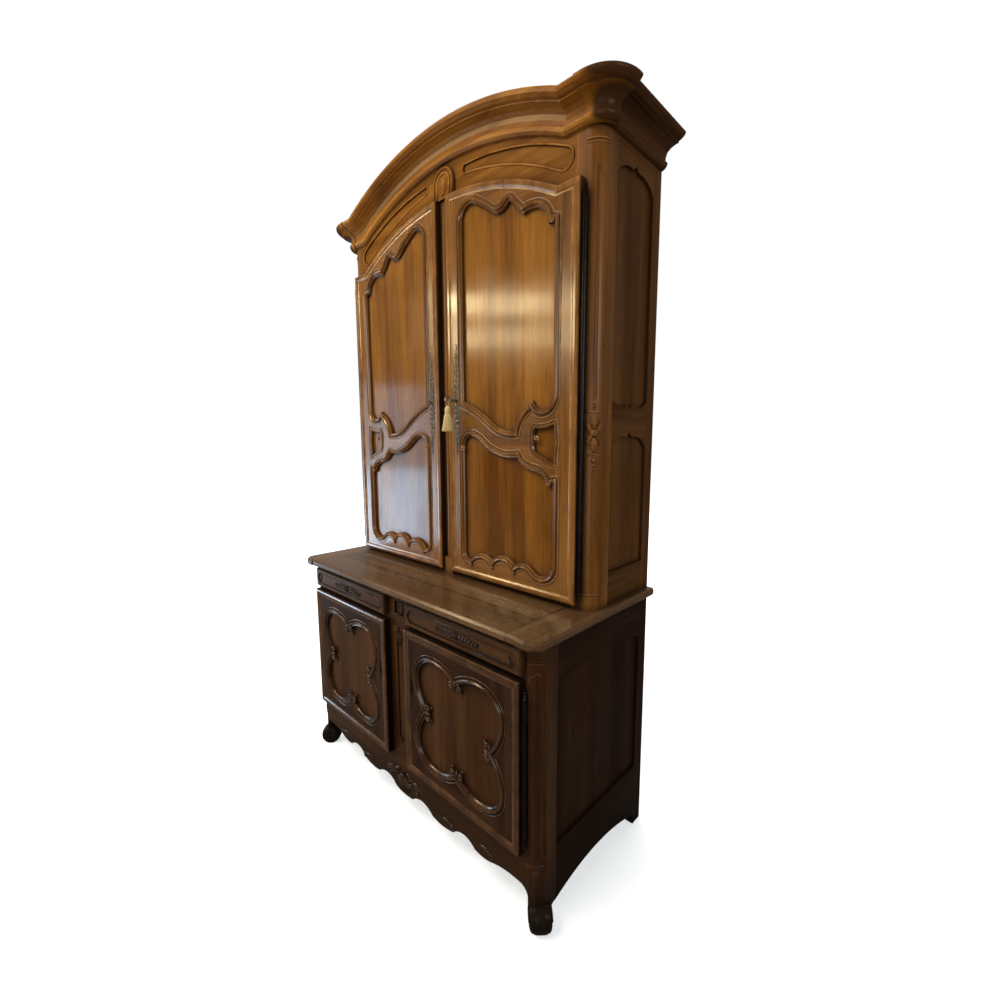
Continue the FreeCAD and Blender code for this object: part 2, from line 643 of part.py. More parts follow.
def keyhole(x, z, y0, y1, radius):
    """Round hole with the slot for the bit."""
    hole = Part.makeCylinder(radius, y1 - y0, Vector(x, y0, z), Vector(0, 1, 0))
    return hole.fuse(box(x - BIT_T / 2 - BIT_PLAY, x + BIT_T / 2 + BIT_PLAY, y0, y1, z - KEY_SLOT, z))


def front_post(low, high, face_y, hinge_low, hinge_high):
    """Front post with its quarter round, notched for the hinge leaves."""
    outline = post_outline(POST_IN, CASE_HALF, face_y, face_y + POST_D, CORNER_R)
    post = prism("plan", outline, low, high)
    for slot in leaf_slots(middles(knuckles(hinge_low, hinge_high)[0::2]), face_y):
        post = post.cut(slot)
    return post


LOWER_HINGE = (LOWER_DOOR_Z + 2 * FINIAL_H, LOWER_DOOR_TOP - 2 * FINIAL_H)
UPPER_HINGE = (UPPER_DOOR_Z + 2 * FINIAL_H, DOOR_EAR_Z - 2 * FINIAL_H)


def leg_curve(plane, edge, leg, level, bend, low, high):
    """Wood sawn away beside a leg: level under the rail, then round and down to the floor."""
    way = math.copysign(1.0, leg - edge)
    outline = ((edge - way * SPARE, level, 0), (leg - way * bend, level, way * bend * (1 - math.sqrt(0.5))),
               (leg, level - bend, 0), (leg, -SPARE, 0), (edge - way * SPARE, -SPARE, 0))
    return prism(plane, outline, low, high)


def ankle_wedges(foot):
    """Wedges sawn off the front and the back of the leg, where it narrows to the foot."""
    front, back = LOWER_FACE_Y, LOWER_FACE_Y + LEG_D
    wedges = []
    for face, narrow, out in ((front, foot.y - ANKLE_FRONT, -SPARE), (back, foot.y + ANKLE_BACK, SPARE)):
        outline = ((face, ANKLE_Z, 0), (narrow, foot.z, 0), (narrow, foot.z - SPARE, 0),
                   (face + out, foot.z - SPARE, 0), (face + out, ANKLE_Z, 0))
        wedges.append(prism("side", outline, POST_IN, CASE_HALF + SPARE))
    return wedges


def lower_front_post():
    """Post sawn to a curve at its foot, on a scroll foot."""
    back_y = LOWER_FACE_Y + POST_D
    foot = Vector(CASE_HALF - FOOT_IN, LOWER_FACE_Y + FOOT_BEHIND, FOOT_R - FOOT_FLAT)
    post = front_post(foot.z, TOP_UNDER, LOWER_FACE_Y, *LOWER_HINGE)
    post = post.cut(post_flute(LOWER_FACE_Y, LEG_Z + LOWER_FLUTE_FOOT, DRAWER_Z - LOWER_FLUTE_TOP))
    post = post.cut(leg_curve("front", POST_IN, POST_IN + LEG_IN, LEG_ARCH_Z, LEG_BEND, LOWER_FACE_Y - SPARE,
                              back_y + SPARE))
    post = post.cut(leg_curve("side", back_y, LOWER_FACE_Y + LEG_D, SIDE_APRON_Z, LEG_BACK_BEND,
                              POST_IN - SPARE, CASE_HALF + SPARE))
    for wedge in ankle_wedges(foot):
        post = post.cut(wedge)
    way = Vector(math.sqrt(0.5), math.sqrt(0.5), 0)
    scroll = Part.makeCylinder(FOOT_R, FOOT_W, foot - way * (FOOT_W / 2), way)
    eye = Part.makeCylinder(FOOT_EYE_R, FOOT_W + 2 * FOOT_EYE_OUT,
                            foot - way * (FOOT_W / 2 + FOOT_EYE_OUT), way)
    whole = joined(post, [scroll, eye])
    return whole.cut(box(0, 2 * CASE_HALF, 2 * TOP_FRONT_Y, 0, -FOOT_R, 0))


def upper_front_post():
    """Post of the cupboard with its two flutes."""
    post = front_post(TOP_Z, POST_TOP, UPPER_FACE_Y, *UPPER_HINGE)
    flutes = [post_flute(UPPER_FACE_Y, TOP_Z + UPPER_FLUTE_MID[1], CORNICE_Z - UPPER_FLUTE_TOP),
              post_flute(UPPER_FACE_Y, TOP_Z + UPPER_FLUTE_FOOT, TOP_Z + UPPER_FLUTE_MID[0])]
    return post.cut(flutes[0]).cut(flutes[1])


def back_posts(low, high):
    """Both back posts of a case."""
    post = box(BACK_POST_X, CASE_HALF, BACK_POST_Y, BACK_Y, low, high)
    return solids([post, mirrored(post)])


def back_boards(low, high):
    """Upright boards between the back posts."""
    width = 2 * (BACK_POST_X - FIT) / BACK_BOARDS
    left = -BACK_POST_X + FIT
    return solids([box(left + i * width, left + (i + 1) * width, BACK_IN, BACK_Y, low, high)
                   for i in range(BACK_BOARDS)])


def side_rail(core_low, core_high, edge):
    """Side rail: a core as thick as the frame, and a shaped front layer that laps the panels."""
    core = box(SIDE_IN, CASE_HALF, edge[0][0], edge[1][0], core_low, core_high)
    layers = [prism("side", outline, PANEL_X, CASE_HALF) for outline in edge[2]]
    return joined(core, layers)


def crest(y0, y1, base, rise, up):
    """Shaped lap of a side rail: two hollow curves that meet in a peak at the middle."""
    middle = (y0 + y1) / 2.0
    reach = (y1 - y0) * CREST_SHARE
    sign = 1.0 if up else -1.0
    end, shoulder = base + sign * rise, base + sign * rise * CREST_SHOULDER
    hollow, swell = sign * CREST_HOLLOW, -sign * CREST_SWELL
    return [(y0, base - sign * SPARE, 0), (y1, base - sign * SPARE, 0), (y1, end, hollow),
            (middle + reach, shoulder, swell), (middle, base + sign * CREST_TIP, swell),
            (middle - reach, shoulder, hollow), (y0, end, 0)]


def lower_sides():
    """Top and bottom side rails of the buffet, and its side panels."""
    y0, y1 = LOWER_FACE_Y + POST_D, BACK_POST_Y
    top_low = TOP_UNDER - SIDE_TOP_RAIL_H
    top = side_rail(top_low, TOP_UNDER, ((y0,), (y1,), [crest(y0, y1, top_low, SIDE_CREST, False)]))
    outline = ((y0, SIDE_APRON_Z, SIDE_APRON_RISE), (y1, SIDE_APRON_BACK_Z, 0), (y1, LOWER_PANEL_Z, 0),
               (y0, LOWER_PANEL_Z, 0))
    foot = prism("side", outline, SIDE_IN, CASE_HALF)
    panel = box(PANEL_X - FIT - SIDE_PANEL_T, PANEL_X - FIT, y0 + FIT, y1 - FIT, LOWER_PANEL_Z, top_low)
    save("lower_side_rails", solids([top, foot, mirrored(top), mirrored(foot)]))
    save("lower_side_panels", solids([panel, mirrored(panel)]))


def upper_sides():
    """Three side rails and two panels on each side of the cupboard."""
    y0, y1 = UPPER_FACE_Y + POST_D, BACK_POST_Y
    top_low = CORNICE_Z - SIDE_TOP_DROP
    mid_low, mid_high = UPPER_MID_Z, UPPER_MID_Z + SIDE_MID_H
    top = side_rail(top_low, POST_TOP, ((y0,), (y1,), [crest(y0, y1, top_low, SIDE_CREST, False)]))
    mid = side_rail(mid_low, mid_high, ((y0,), (y1,), [crest(y0, y1, mid_low, SIDE_CREST, False),
                                                      crest(y0, y1, mid_high, SIDE_CREST_UP, True)]))
    foot = box(SIDE_IN, CASE_HALF, y0, y1, TOP_Z, UPPER_PANEL_Z)
    for y in DOWEL_Y:
        foot = foot.cut(Part.makeCylinder(DOWEL_R + DOWEL_PLAY, DOWEL_UP + 2 * SPARE,
                                          Vector(CASE_HALF - SIDE_T / 2, y, TOP_Z - SPARE)))
    x1 = PANEL_X - FIT
    panels = [box(x1 - SIDE_PANEL_T, x1, y0 + FIT, y1 - FIT, low, high)
              for low, high in ((UPPER_PANEL_Z, mid_low), (mid_high, top_low))]
    rails = [top, mid, foot]
    save("upper_side_rails", solids(rails + [mirrored(r) for r in rails]))
    save("upper_side_panels", solids(panels + [mirrored(p) for p in panels]))


def apron():
    """Front bottom rail with its scalloped lower edge and a pendant in the middle."""
    high = LOWER_DOOR_Z + APRON_TOP_LAP
    h = APRON_PENDANT_HALF
    edge = [(h + share * (POST_IN - h), level, rise) for share, level, rise in APRON_SCALLOPS]
    edge.append((h, APRON_PENDANT_Z, -APRON_PENDANT_DROP))
    rises = [0.0] + [rise for _, _, rise in edge[:-1]]
    outline = [(-a, level, rise) for a, level, rise in edge]
    outline += [(a, level, rise) for (a, level, _), rise in zip(reversed(edge), reversed(rises))]
    outline += [(POST_IN, high, 0), (-POST_IN, high, 0)]
    return prism("front", outline, LOWER_FACE_Y, LOWER_FACE_Y + RAIL_T)


def rail(low, high, face_y):
    """Plain front rail between the posts."""
    return box(-POST_IN, POST_IN, face_y, face_y + RAIL_T, low, high)


def bolt_mortise(stile_half, lock, face_y):
    """Mortise for a bolt in the upright that a door closes on, both sides."""
    y = case_front(face_y) + (CASE_T - BOLT_T) / 2
    z = lock[1] + BOLT_ABOVE
    right = box(stile_half - BOLT_THROW, stile_half + SPARE, y - MORTISE_PLAY, y + BOLT_T + MORTISE_PLAY,
                z - MORTISE_PLAY, z + BOLT_H + MORTISE_PLAY)
    return right.fuse(mirrored(right))


def case_front(face_y):
    """Front of a lock case: the back of the door's rebate."""
    return face_y + TONGUE_T - SEAT_GAP


def lower_centre_stile():
    """Fixed stile between the lower doors, with a sunk flute."""
    low, high = LOWER_DOOR_Z + APRON_TOP_LAP, LOWER_DOOR_TOP - APRON_TOP_LAP
    stile = box(-LOWER_STILE_HALF, LOWER_STILE_HALF, LOWER_FACE_Y, LOWER_FACE_Y + RAIL_T, low, high)
    h = CENTRE_FLUTE_HALF
    foot, head = low + CENTRE_FLUTE_END, high - CENTRE_FLUTE_END
    flute = ((-h, foot, 0), (0, foot - CENTRE_FLUTE_POINT, 0), (h, foot, 0),
             (h, head, -CENTRE_FLUTE_ROUND), (-h, head, 0))
    return stile.cut(prism("front", flute, LOWER_FACE_Y - SPARE, LOWER_FACE_Y + FLUTE_DEPTH))


def drawer_muntin():
    """Upright between the drawers, with a small sunk field."""
    low, high = DRAWER_Z + LAP, DRAWER_TOP - LAP
    block = box(-MUNTIN_HALF, MUNTIN_HALF, LOWER_FACE_Y, LOWER_FACE_Y + RAIL_T, low, high)
    middle = (low + high) / 2
    field = box(-MUNTIN_PANEL, MUNTIN_PANEL, LOWER_FACE_Y - SPARE, LOWER_FACE_Y + FLUTE_DEPTH,
                middle - MUNTIN_PANEL, middle + MUNTIN_PANEL)
    return block.cut(field)


def lower_bearers():
    """Drawer runners and the cleats of the lower shelf."""
    top = DRAWER_Z + LAP + DRAWER_PLAY - DRAWER_SEAT
    y0, y1 = LOWER_FACE_Y + RAIL_T, BACK_IN
    inner = MUNTIN_HALF + DRAWER_PLAY
    outer = POST_IN - DRAWER_PLAY
    runners = [box(inner, inner + RUNNER_W, y0, y1, top - RUNNER_H, top),
               box(outer - RUNNER_W, outer, y0, y1, top - RUNNER_H, top)]
    x1 = PANEL_X - FIT - SIDE_PANEL_T
    cleat = box(x1 - CLEAT, x1, LOWER_FACE_Y + LOWER_SHELF_SETBACK, BACK_POST_Y, LOWER_SHELF_Z - CLEAT,
                LOWER_SHELF_Z)
    right = runners + [cleat]
    return solids(right + [mirrored(s) for s in right])


def buffet_top():
    """Buffet top of a field, a front board and two end boards, with a rounded edge and dowel holes."""
    radius = TOP_CORNER_R - NOSING
    side = CASE_HALF + TOP_OVERHANG - NOSING
    front = TOP_FRONT_Y + NOSING
    corner = front - TOP_STEP
    step = CASE_HALF - TOP_STEP_IN
    bulge = -radius * (1 - math.sqrt(0.5))
    path = [(-side, BACK_Y, 0), (-side, corner + radius, bulge), (radius - side, corner, 0),
            (-step, corner, 0), (-step, front, 0), (step, front, 0), (step, corner, 0),
            (side - radius, corner, bulge), (side, corner + radius, 0), (side, BACK_Y, 0)]
    edge = moulding("plan", path, TOP_UNDER, NOSING_PROFILE, False)
    slab = joined(prism("plan", path, TOP_UNDER, TOP_Z), edge)
    for foot in dowel_places():
        slab = slab.cut(Part.makeCylinder(DOWEL_R, TOP_T, foot))
    end, board = CASE_HALF - BREADBOARD_W, TOP_FRONT_Y + FRONT_BOARD_W
    reach = 2 * CASE_HALF
    parts = [slab.common(box(-reach, reach, -reach, board, 0, reach)),
             slab.common(box(-end, end, board, reach, 0, reach)),
             slab.common(box(end, reach, board, reach, 0, reach)),
             slab.common(box(-reach, -end, board, reach, 0, reach))]
    return solids(parts)


def dowel_places():
    """Lower ends of the dowels."""
    x, z = CASE_HALF - SIDE_T / 2, TOP_Z + DOWEL_UP - DOWEL_L
    return [Vector(side * x, y, z) for side in (-1, 1) for y in DOWEL_Y]


def dowels():
    """Dowels that keep the cupboard in place on the buffet."""
    return solids([Part.makeCylinder(DOWEL_R, DOWEL_L, foot) for foot in dowel_places()])


def drawer_front():
    """Drawer front with a rounded lip and a sunk field with incurved corners."""
    y0, y1 = LOWER_FACE_Y - SEAT_GAP - DRAWER_T, LOWER_FACE_Y - SEAT_GAP
    front = box(DRAWER_IN, DOOR_OUT, y0, y1, DRAWER_Z, DRAWER_TOP)
    edges = [e for e in front.Edges if all(abs(v.Y - y0) < 0.01 for v in e.Vertexes)]
    front = front.makeChamfer(DRAWER_CHAMFER, edges)
    i, r = DRAWER_FIELD_IN, DRAWER_FIELD_R
    x0, x1, z0, z1 = DRAWER_IN + i, DOOR_OUT - i, DRAWER_Z + i, DRAWER_TOP - i
    bulge = r * (1 - math.sqrt(0.5))
    field = ((x0 + r, z0, 0), (x1 - r, z0, bulge), (x1, z0 + r, 0), (x1, z1 - r, bulge), (x1 - r, z1, 0),
             (x0 + r, z1, bulge), (x0, z1 - r, 0), (x0, z0 + r, bulge))
    return front.cut(prism("front", field, y0 - SPARE, y0 + DRAWER_FIELD_DEPTH))


def drawer_box():
    """Two sides, back and bottom of a drawer, running through its opening."""
    x0, x1 = MUNTIN_HALF + DRAWER_PLAY, POST_IN - DRAWER_PLAY
    y0 = LOWER_FACE_Y - SEAT_GAP
    y1 = y0 + DRAWER_DEPTH
    z0, z1 = DRAWER_Z + LAP + DRAWER_PLAY, DRAWER_TOP - LAP - DRAWER_PLAY
    t = DRAWER_SIDE_T
    sides = [box(x0, x0 + t, y0, y1, z0, z1), box(x1 - t, x1, y0, y1, z0, z1)]
    back = box(x0 + t, x1 - t, y1 - t, y1, z0, z1)
    bottom = box(x0 + t, x1 - t, y0, y1 - t, z0, z0 + DRAWER_BOTTOM_T)
    return solids(sides + [back, bottom])


def quatrefoil():
    """Outline of the lower door's panel: four lobes that meet in cusps."""
    cx = (LOWER_DOOR_IN + DOOR_OUT) / 2
    cz = LOWER_DOOR_Z + LOWER_DOOR_H / 2
    w, h = QUATREFOIL_W, QUATREFOIL_H
    sx, sz = w - LOBE_SHOULDER_X, h - LOBE_SHOULDER_Z
    quarter = [(w - CUSP_IN_X, 0, INTO_NEXT), (w, sz, -LOBE_BULGE), (sx, h, FROM_LAST)]
    points = []
    for flip_x, flip_z in ((1, 1), (-1, 1), (-1, -1), (1, -1)):
        lobe = quarter if flip_x == flip_z else quarter_back(quarter, h)
        points += [(cx + flip_x * x, cz + flip_z * z, bulge) for x, z, bulge in lobe]
    return points


def quarter_back(quarter, h):
    """The same lobe, run through from the top cusp to the side cusp."""
    cusp = (0, h - CUSP_IN_Z)
    ends = [(x, z) for x, z, _ in quarter] + [cusp]
    bulges = [INTO_NEXT, quarter[1][2], FROM_LAST]
    return [(ends[3 - i][0], ends[3 - i][1], bulges[i]) for i in range(3)]


def tongue(outline, face_y):
    """Rebate on the back of a door, inside the opening."""
    return prism("front", outline, face_y - SEAT_GAP, face_y - SEAT_GAP + TONGUE_T)


def lower_door_frame():
    """Lower door: two stiles and two rails with a moulded lip, a rebate and the quatrefoil moulding."""
    x0, x1, z0, z1 = LOWER_DOOR_IN, DOOR_OUT, LOWER_DOOR_Z, LOWER_DOOR_TOP
    outline = ((x0, z0, 0), (x1, z0, 0), (x1, z1, 0), (x0, z1, 0))
    g, lap = TONGUE_GAP, APRON_TOP_LAP + TONGUE_GAP
    inner = ((LOWER_STILE_HALF + g, z0 + lap, 0), (POST_IN - g, z0 + lap, 0), (POST_IN - g, z1 - lap, 0),
             (LOWER_STILE_HALF + g, z1 - lap, 0))
    flat = LOWER_FACE_Y - OVERLAY_T + LIP_H
    plate = prism("front", outline, flat, LOWER_FACE_Y - SEAT_GAP).fuse(tongue(inner, LOWER_FACE_Y))
    frame = plate.cut(prism("front", quatrefoil(), flat - SPARE, LOWER_FACE_Y + TONGUE_T + SPARE))
    for slot in door_leaf_slots(*LOWER_HINGE, LOWER_FACE_Y):
        frame = frame.cut(slot)
    frame = frame.cut(keyhole(LOWER_LOCK[0], LOWER_LOCK[1], flat - SPARE, LOWER_FACE_Y + TONGUE_T + SPARE,
                              KEY_R + KEYHOLE_PLAY))
    shoulder = QUATREFOIL_W - CUSP_IN_X - LOWER_STUB
    cx = (x0 + x1) / 2
    return frame_members(frame, cx - shoulder, cx + shoulder, [(z0 + z1) / 2])


def lower_door_mouldings():
    """Lip and quatrefoil moulding of a lower door."""
    x0, x1, z0, z1 = LOWER_DOOR_IN, DOOR_OUT, LOWER_DOOR_Z, LOWER_DOOR_TOP
    outline = ((x0, z0, 0), (x1, z0, 0), (x1, z1, 0), (x0, z1, 0))
    flat = LOWER_FACE_Y - OVERLAY_T + LIP_H
    lengths = moulding("front", outline, flat, LIP_PROFILE)
    lengths += moulding("front", quatrefoil(), flat, STRIP_PROFILE)
    return solids(lengths)


def frame_members(frame, left, right, rail_breaks):
    """Stiles and rails of a door frame, parted at their shoulders."""
    reach = 4 * CASE_HALF
    members = [frame.common(box(-reach, left, -reach, reach, -reach, reach)),
               frame.common(box(right, reach, -reach, reach, -reach, reach))]
    levels = [-reach] + rail_breaks + [reach]
    for low, high in zip(levels[:-1], levels[1:]):
        members.append(frame.common(box(left, right, -reach, reach, low, high)))
    return solids(members)


def door_panel(outline, face_y):
    """Panel behind a moulding, held in the thickness of the frame."""
    flat = face_y - OVERLAY_T + LIP_H
    front = flat + STRIP_BED
    return prism("front", shrunk(outline, FIT), front, front + PANEL_T)


def door_top(x):
    """Upper edge of an upper door."""
    return arch(DOOR_R, x)


def upper_door_outline():
    """Arched door with a level ear at its outer corner."""
    x0, x1 = UPPER_DOOR_IN, DOOR_OUT
    rise = sagitta(DOOR_R, math.hypot(DOOR_EAR_X - x0, door_top(x0) - DOOR_EAR_Z))
    return ((x0, UPPER_DOOR_Z, 0), (x1, UPPER_DOOR_Z, 0), (x1, DOOR_EAR_Z, 0),
            (DOOR_EAR_X, DOOR_EAR_Z, -rise), (x0, door_top(x0), 0))


def across_panel(share):
    """Place across the panels of an upper door, from the inner stile to the outer one."""
    left = UPPER_DOOR_IN + INNER_STILE
    return left + share * (DOOR_OUT - OUTER_STILE - left)


def shaped(points, level):
    """Outline points of an upper door's panel from (share of the width, rise, bulge)."""
    return [(across_panel(share), level + rise, bulge) for share, rise, bulge in points]


def upper_panel_outline():
    """Upper panel of an upper door: three lobes under the arch, an S-shaped foot with two cusps."""
    points = shaped(UPPER_PANEL_FOOT, UPPER_MID_Z)
    for share, drop, bulge in UPPER_PANEL_HEAD:
        x = across_panel(share)
        points.append((x, door_top(x) - drop, bulge))
    return points


def lower_panel_outline():
    """Lower panel of an upper door: an S-shaped head and a foot with three crests."""
    return shaped(LOWER_PANEL_FOOT, UPPER_DOOR_Z) + shaped(LOWER_PANEL_HEAD, UPPER_MID_Z)


def cartouche_outline():
    """Small panel at the outer end of the mid rail of an upper door."""
    return shaped(CARTOUCHE, UPPER_MID_Z)


def upper_door_frame():
    """Upper door: two stiles, an arched top rail, an S-shaped mid rail and a bottom rail."""
    outline = upper_door_outline()
    g = TONGUE_GAP
    r = OPENING_R - g
    x0, x1 = CENTRE_POST_HALF + g, POST_IN - g
    low, high_in, high_out = TOP_Z + UPPER_RAIL_H + g, arch(r, x0), arch(r, x1)
    rise = sagitta(r, math.hypot(x1 - x0, high_in - high_out))
    inner = ((x0, low, 0), (x1, low, 0), (x1, high_out, -rise), (x0, high_in, 0))
    flat = UPPER_FACE_Y - OVERLAY_T + LIP_H
    plate = prism("front", outline, flat, UPPER_FACE_Y - SEAT_GAP).fuse(tongue(inner, UPPER_FACE_Y))
    frame = plate
    for shape in (upper_panel_outline(), lower_panel_outline(), cartouche_outline()):
        frame = frame.cut(prism("front", shape, flat - SPARE, UPPER_FACE_Y + TONGUE_T + SPARE))
    for slot in door_leaf_slots(*UPPER_HINGE, UPPER_FACE_Y):
        frame = frame.cut(slot)
    frame = frame.cut(keyhole(UPPER_LOCK[0], UPPER_LOCK[1], flat - SPARE, UPPER_FACE_Y + TONGUE_T + SPARE,
                              KEY_R + KEYHOLE_PLAY))
    left, right = across_panel(0.0) + STUB, across_panel(1.0) - STUB
    return frame_members(frame, left, right, [(UPPER_DOOR_Z + UPPER_MID_Z) / 2,
                                              (UPPER_MID_Z + DOOR_EAR_Z) / 2])


def upper_door_mouldings():
    """Lip and panel mouldings of an upper door."""
    flat = UPPER_FACE_Y - OVERLAY_T + LIP_H
    lengths = moulding("front", upper_door_outline(), flat, LIP_PROFILE)
    for shape, profile in ((upper_panel_outline(), STRIP_PROFILE), (lower_panel_outline(), STRIP_PROFILE),
                           (cartouche_outline(), CARTOUCHE_PROFILE)):
        lengths += moulding("front", shape, flat, profile)
    return solids(lengths)


def scroll_plate(lock, half_w, half_h, lobes, flat):
    """Escutcheon plate with scrolled edges and a keyhole."""
    x, z = lock
    right = []
    for i in range(1, 2 * lobes):
        waist = PLATE_WAIST if i % 2 else 1.0
        taper = 1.0 - PLATE_TAPER * abs(i - lobes) / lobes
        right.append((half_w * waist * taper, half_h * (i - lobes) / lobes))
    left = [(-w, r) for w, r in reversed(right)]
    points = [(0.0, -half_h)] + right + [(0.0, half_h)] + left
    outline = [(x + w, z + r, -PLATE_ROUND) for w, r in points]
    plate = prism("front", outline, flat - PLATE_T, flat)
    return plate.cut(keyhole(x, z, flat - PLATE_T - SPARE, flat + SPARE, KEY_R + KEY_PLAY))


def lock_case(lock, edge, face_y):
    """Hollow lock case on the back of a door, open to the bolt and the key, with a ledge under the bolt."""
    x0, x1 = edge + CASE_BESIDE, edge + CASE_BESIDE + CASE_W
    y0 = case_front(face_y)
    y1 = y0 + CASE_T
    z0, z1 = lock[1] - CASE_H / 2, lock[1] + CASE_H / 2
    w = CASE_WALL
    case = box(x0, x1, y0, y1, z0, z1).cut(box(x0 + w, x1 - w, y0 + w, y1 - w, z0 + w, z1 - w))
    case = case.cut(keyhole(lock[0], lock[1], y0 - SPARE, y0 + w + SPARE, KEY_R + KEY_PLAY))
    bolt_y = y0 + (CASE_T - BOLT_T) / 2
    bolt_z = lock[1] + BOLT_ABOVE
    play = BOLT_PLAY
    window = box(x0 - SPARE, x0 + w + SPARE, bolt_y - play, bolt_y + BOLT_T + play, bolt_z - play, bolt_z
                 + BOLT_H + play)
    ledge = box(x0 + w, x1 - w, y0 + w, y1 - w, bolt_z - play - w, bolt_z - play)
    return case.fuse(ledge).cut(window)


def bolt(lock, edge, face_y):
    """Sliding bolt, drawn back into its case."""
    x0 = edge + CASE_BESIDE + BOLT_PLAY
    y = case_front(face_y) + (CASE_T - BOLT_T) / 2
    z = lock[1] + BOLT_ABOVE
    return box(x0, x0 + BOLT_L, y, y + BOLT_T, z, z + BOLT_H)


def key():
    """Key of the upper right door: stem, bit and ring bow."""
    x, z = UPPER_LOCK
    flat = UPPER_FACE_Y - OVERLAY_T + LIP_H
    tip = case_front(UPPER_FACE_Y) + CASE_T - CASE_WALL - KEY_END_GAP
    bow_y = flat - KEY_OUT + BOW_R
    bow_end = bow_y + BOW_R
    back = Vector(0, 1, 0)
    stem = Part.makeCylinder(KEY_R, tip - bow_end + BOW_WIRE, Vector(x, bow_end - BOW_WIRE, z), back)
    collar = Part.makeCylinder(KEY_COLLAR_R, KEY_COLLAR_T, Vector(x, bow_end + KEY_COLLAR_AT, z), back)
    bit_y = case_front(UPPER_FACE_Y) + CASE_WALL + KEY_END_GAP
    bit = box(x - BIT_T / 2, x + BIT_T / 2, bit_y, tip, z - BIT_REACH, z)
    bow = Part.makeTorus(BOW_R, BOW_WIRE, Vector(x, bow_y, z), Vector(1, 0, 0))
    rest = Part.makeCylinder(BOW_REST_R, BOW_REST_L, Vector(x, bow_y - BOW_REST_L / 2, z - BOW_R), back)
    return joined(stem, [collar, bit, bow, rest])


def tassel():
    """Tassel on the key: loop round the rest in the bow, bound head and skirt."""
    x, z = UPPER_LOCK
    y = UPPER_FACE_Y - OVERLAY_T + LIP_H - KEY_OUT + BOW_R
    tie = z - BOW_R
    middle = tie - LOOP_R + BOW_WIRE + LOOP_WIRE + LOOP_PLAY
    loop = Part.makeTorus(LOOP_R, LOOP_WIRE, Vector(x, y, middle), Vector(0, 1, 0))
    head = tie - 2 * LOOP_R + BOW_WIRE + TASSEL_LAP
    body = turning([(radius, head - drop) for radius, drop in TASSEL_PROFILE], x, y)
    return joined(body, [loop])


def centre_post():
    """Fixed post between the upper doors: rounded ridge, plinth and mortises for the bolts."""
    low = TOP_Z + UPPER_RAIL_H
    w = CENTRE_POST_HALF
    top = arch(OPENING_R, w)
    outline = ((-w, low, 0), (w, low, 0), (w, top, -sagitta(OPENING_R, 2 * w)), (-w, top, 0))
    post = prism("front", outline, UPPER_FACE_Y, UPPER_FACE_Y + CENTRE_POST_T)
    ridge = prism("plan", ((-RIDGE_HALF, UPPER_FACE_Y, -RIDGE_H), (RIDGE_HALF, UPPER_FACE_Y, 0),
                           (RIDGE_HALF, UPPER_FACE_Y + ROOT, 0), (-RIDGE_HALF, UPPER_FACE_Y + ROOT, 0)),
                  low, arch(OPENING_R, RIDGE_HALF))
    plinth = box(-PLINTH_HALF, PLINTH_HALF, UPPER_FACE_Y - RIDGE_H - PLINTH_OUT, UPPER_FACE_Y, TOP_Z,
                 TOP_Z + PLINTH_H)
    post = joined(post, [ridge, plinth])
    return post.cut(bolt_mortise(CENTRE_POST_HALF, UPPER_LOCK, UPPER_FACE_Y))


def frieze():
    """Arched board over the doors, with two sunk curved fields and a rounded keystone."""
    w = POST_IN
    outer = CORNICE_R + FRIEZE_BEHIND
    outline = ((-w, arch(OPENING_R, w), sagitta(OPENING_R, 2 * w)), (w, arch(OPENING_R, w), 0),
               (w, arch(outer, w), -sagitta(outer, 2 * w)), (-w, arch(outer, w), 0))
    board = prism("front", outline, UPPER_FACE_Y, UPPER_FACE_Y + FRIEZE_T)
    k = KEYSTONE_HALF
    low = DOOR_R + KEYSTONE_GAP
    foot, spring = arch(low, k), arch(DOOR_R, 0) + KEYSTONE_RISE - KEYSTONE_ROUND
    hood = ((-k, foot, sagitta(low, 2 * k)), (k, foot, 0), (k, spring, -KEYSTONE_ROUND), (-k, spring, 0))
    keystone = prism("front", hood, UPPER_FACE_Y - KEYSTONE_T, UPPER_FACE_Y + ROOT)
    field = frieze_field()
    return joined(board, [keystone]).cut(field).cut(mirrored(field))


def frieze_field():
    """Sunk field of the frieze: a curved oblong, round at its outer end and pinched at its inner one."""
    r0 = OPENING_R + FRIEZE_FIELD_LIFT
    r1 = r0 + FRIEZE_FIELD_H
    x0, x1 = FRIEZE_FIELD_IN, POST_IN - FRIEZE_FIELD_OUT
    pinch, lean = FRIEZE_FIELD_PINCH, x1 - FRIEZE_FIELD_SLANT
    low_in, low_out = (x0, arch(r0 + pinch, x0)), (lean, arch(r0, lean))
    high_in, high_out = (x0, arch(r1 - pinch, x0)), (x1, arch(r1, x1))
    chord = math.hypot(low_out[0] - low_in[0], low_out[1] - low_in[1])
    outline = (low_in + (sagitta(r0, chord),), low_out + (-FRIEZE_FIELD_ROUND,), high_out
               + (-sagitta(r1, chord),), high_in + (-FRIEZE_FIELD_NIP,))
    return prism("front", outline, UPPER_FACE_Y - SPARE, UPPER_FACE_Y + FRIEZE_FIELD_DEPTH)


def cornice_arch():
    """Front of the cornice: the arch between two short level lengths, mitred together."""
    e, z, end = CORNICE_EAR_X, CORNICE_Z, CASE_HALF - CORNICE_CORNER_R
    path = ((-end, z, 0), (-e, z, sagitta(CORNICE_R, 2 * e)), (e, z, 0), (end, z, 0))
    lengths = moulding("front", path, UPPER_FACE_Y, CORNICE_PROFILE, False)
    return joined(lengths[0], lengths[1:])


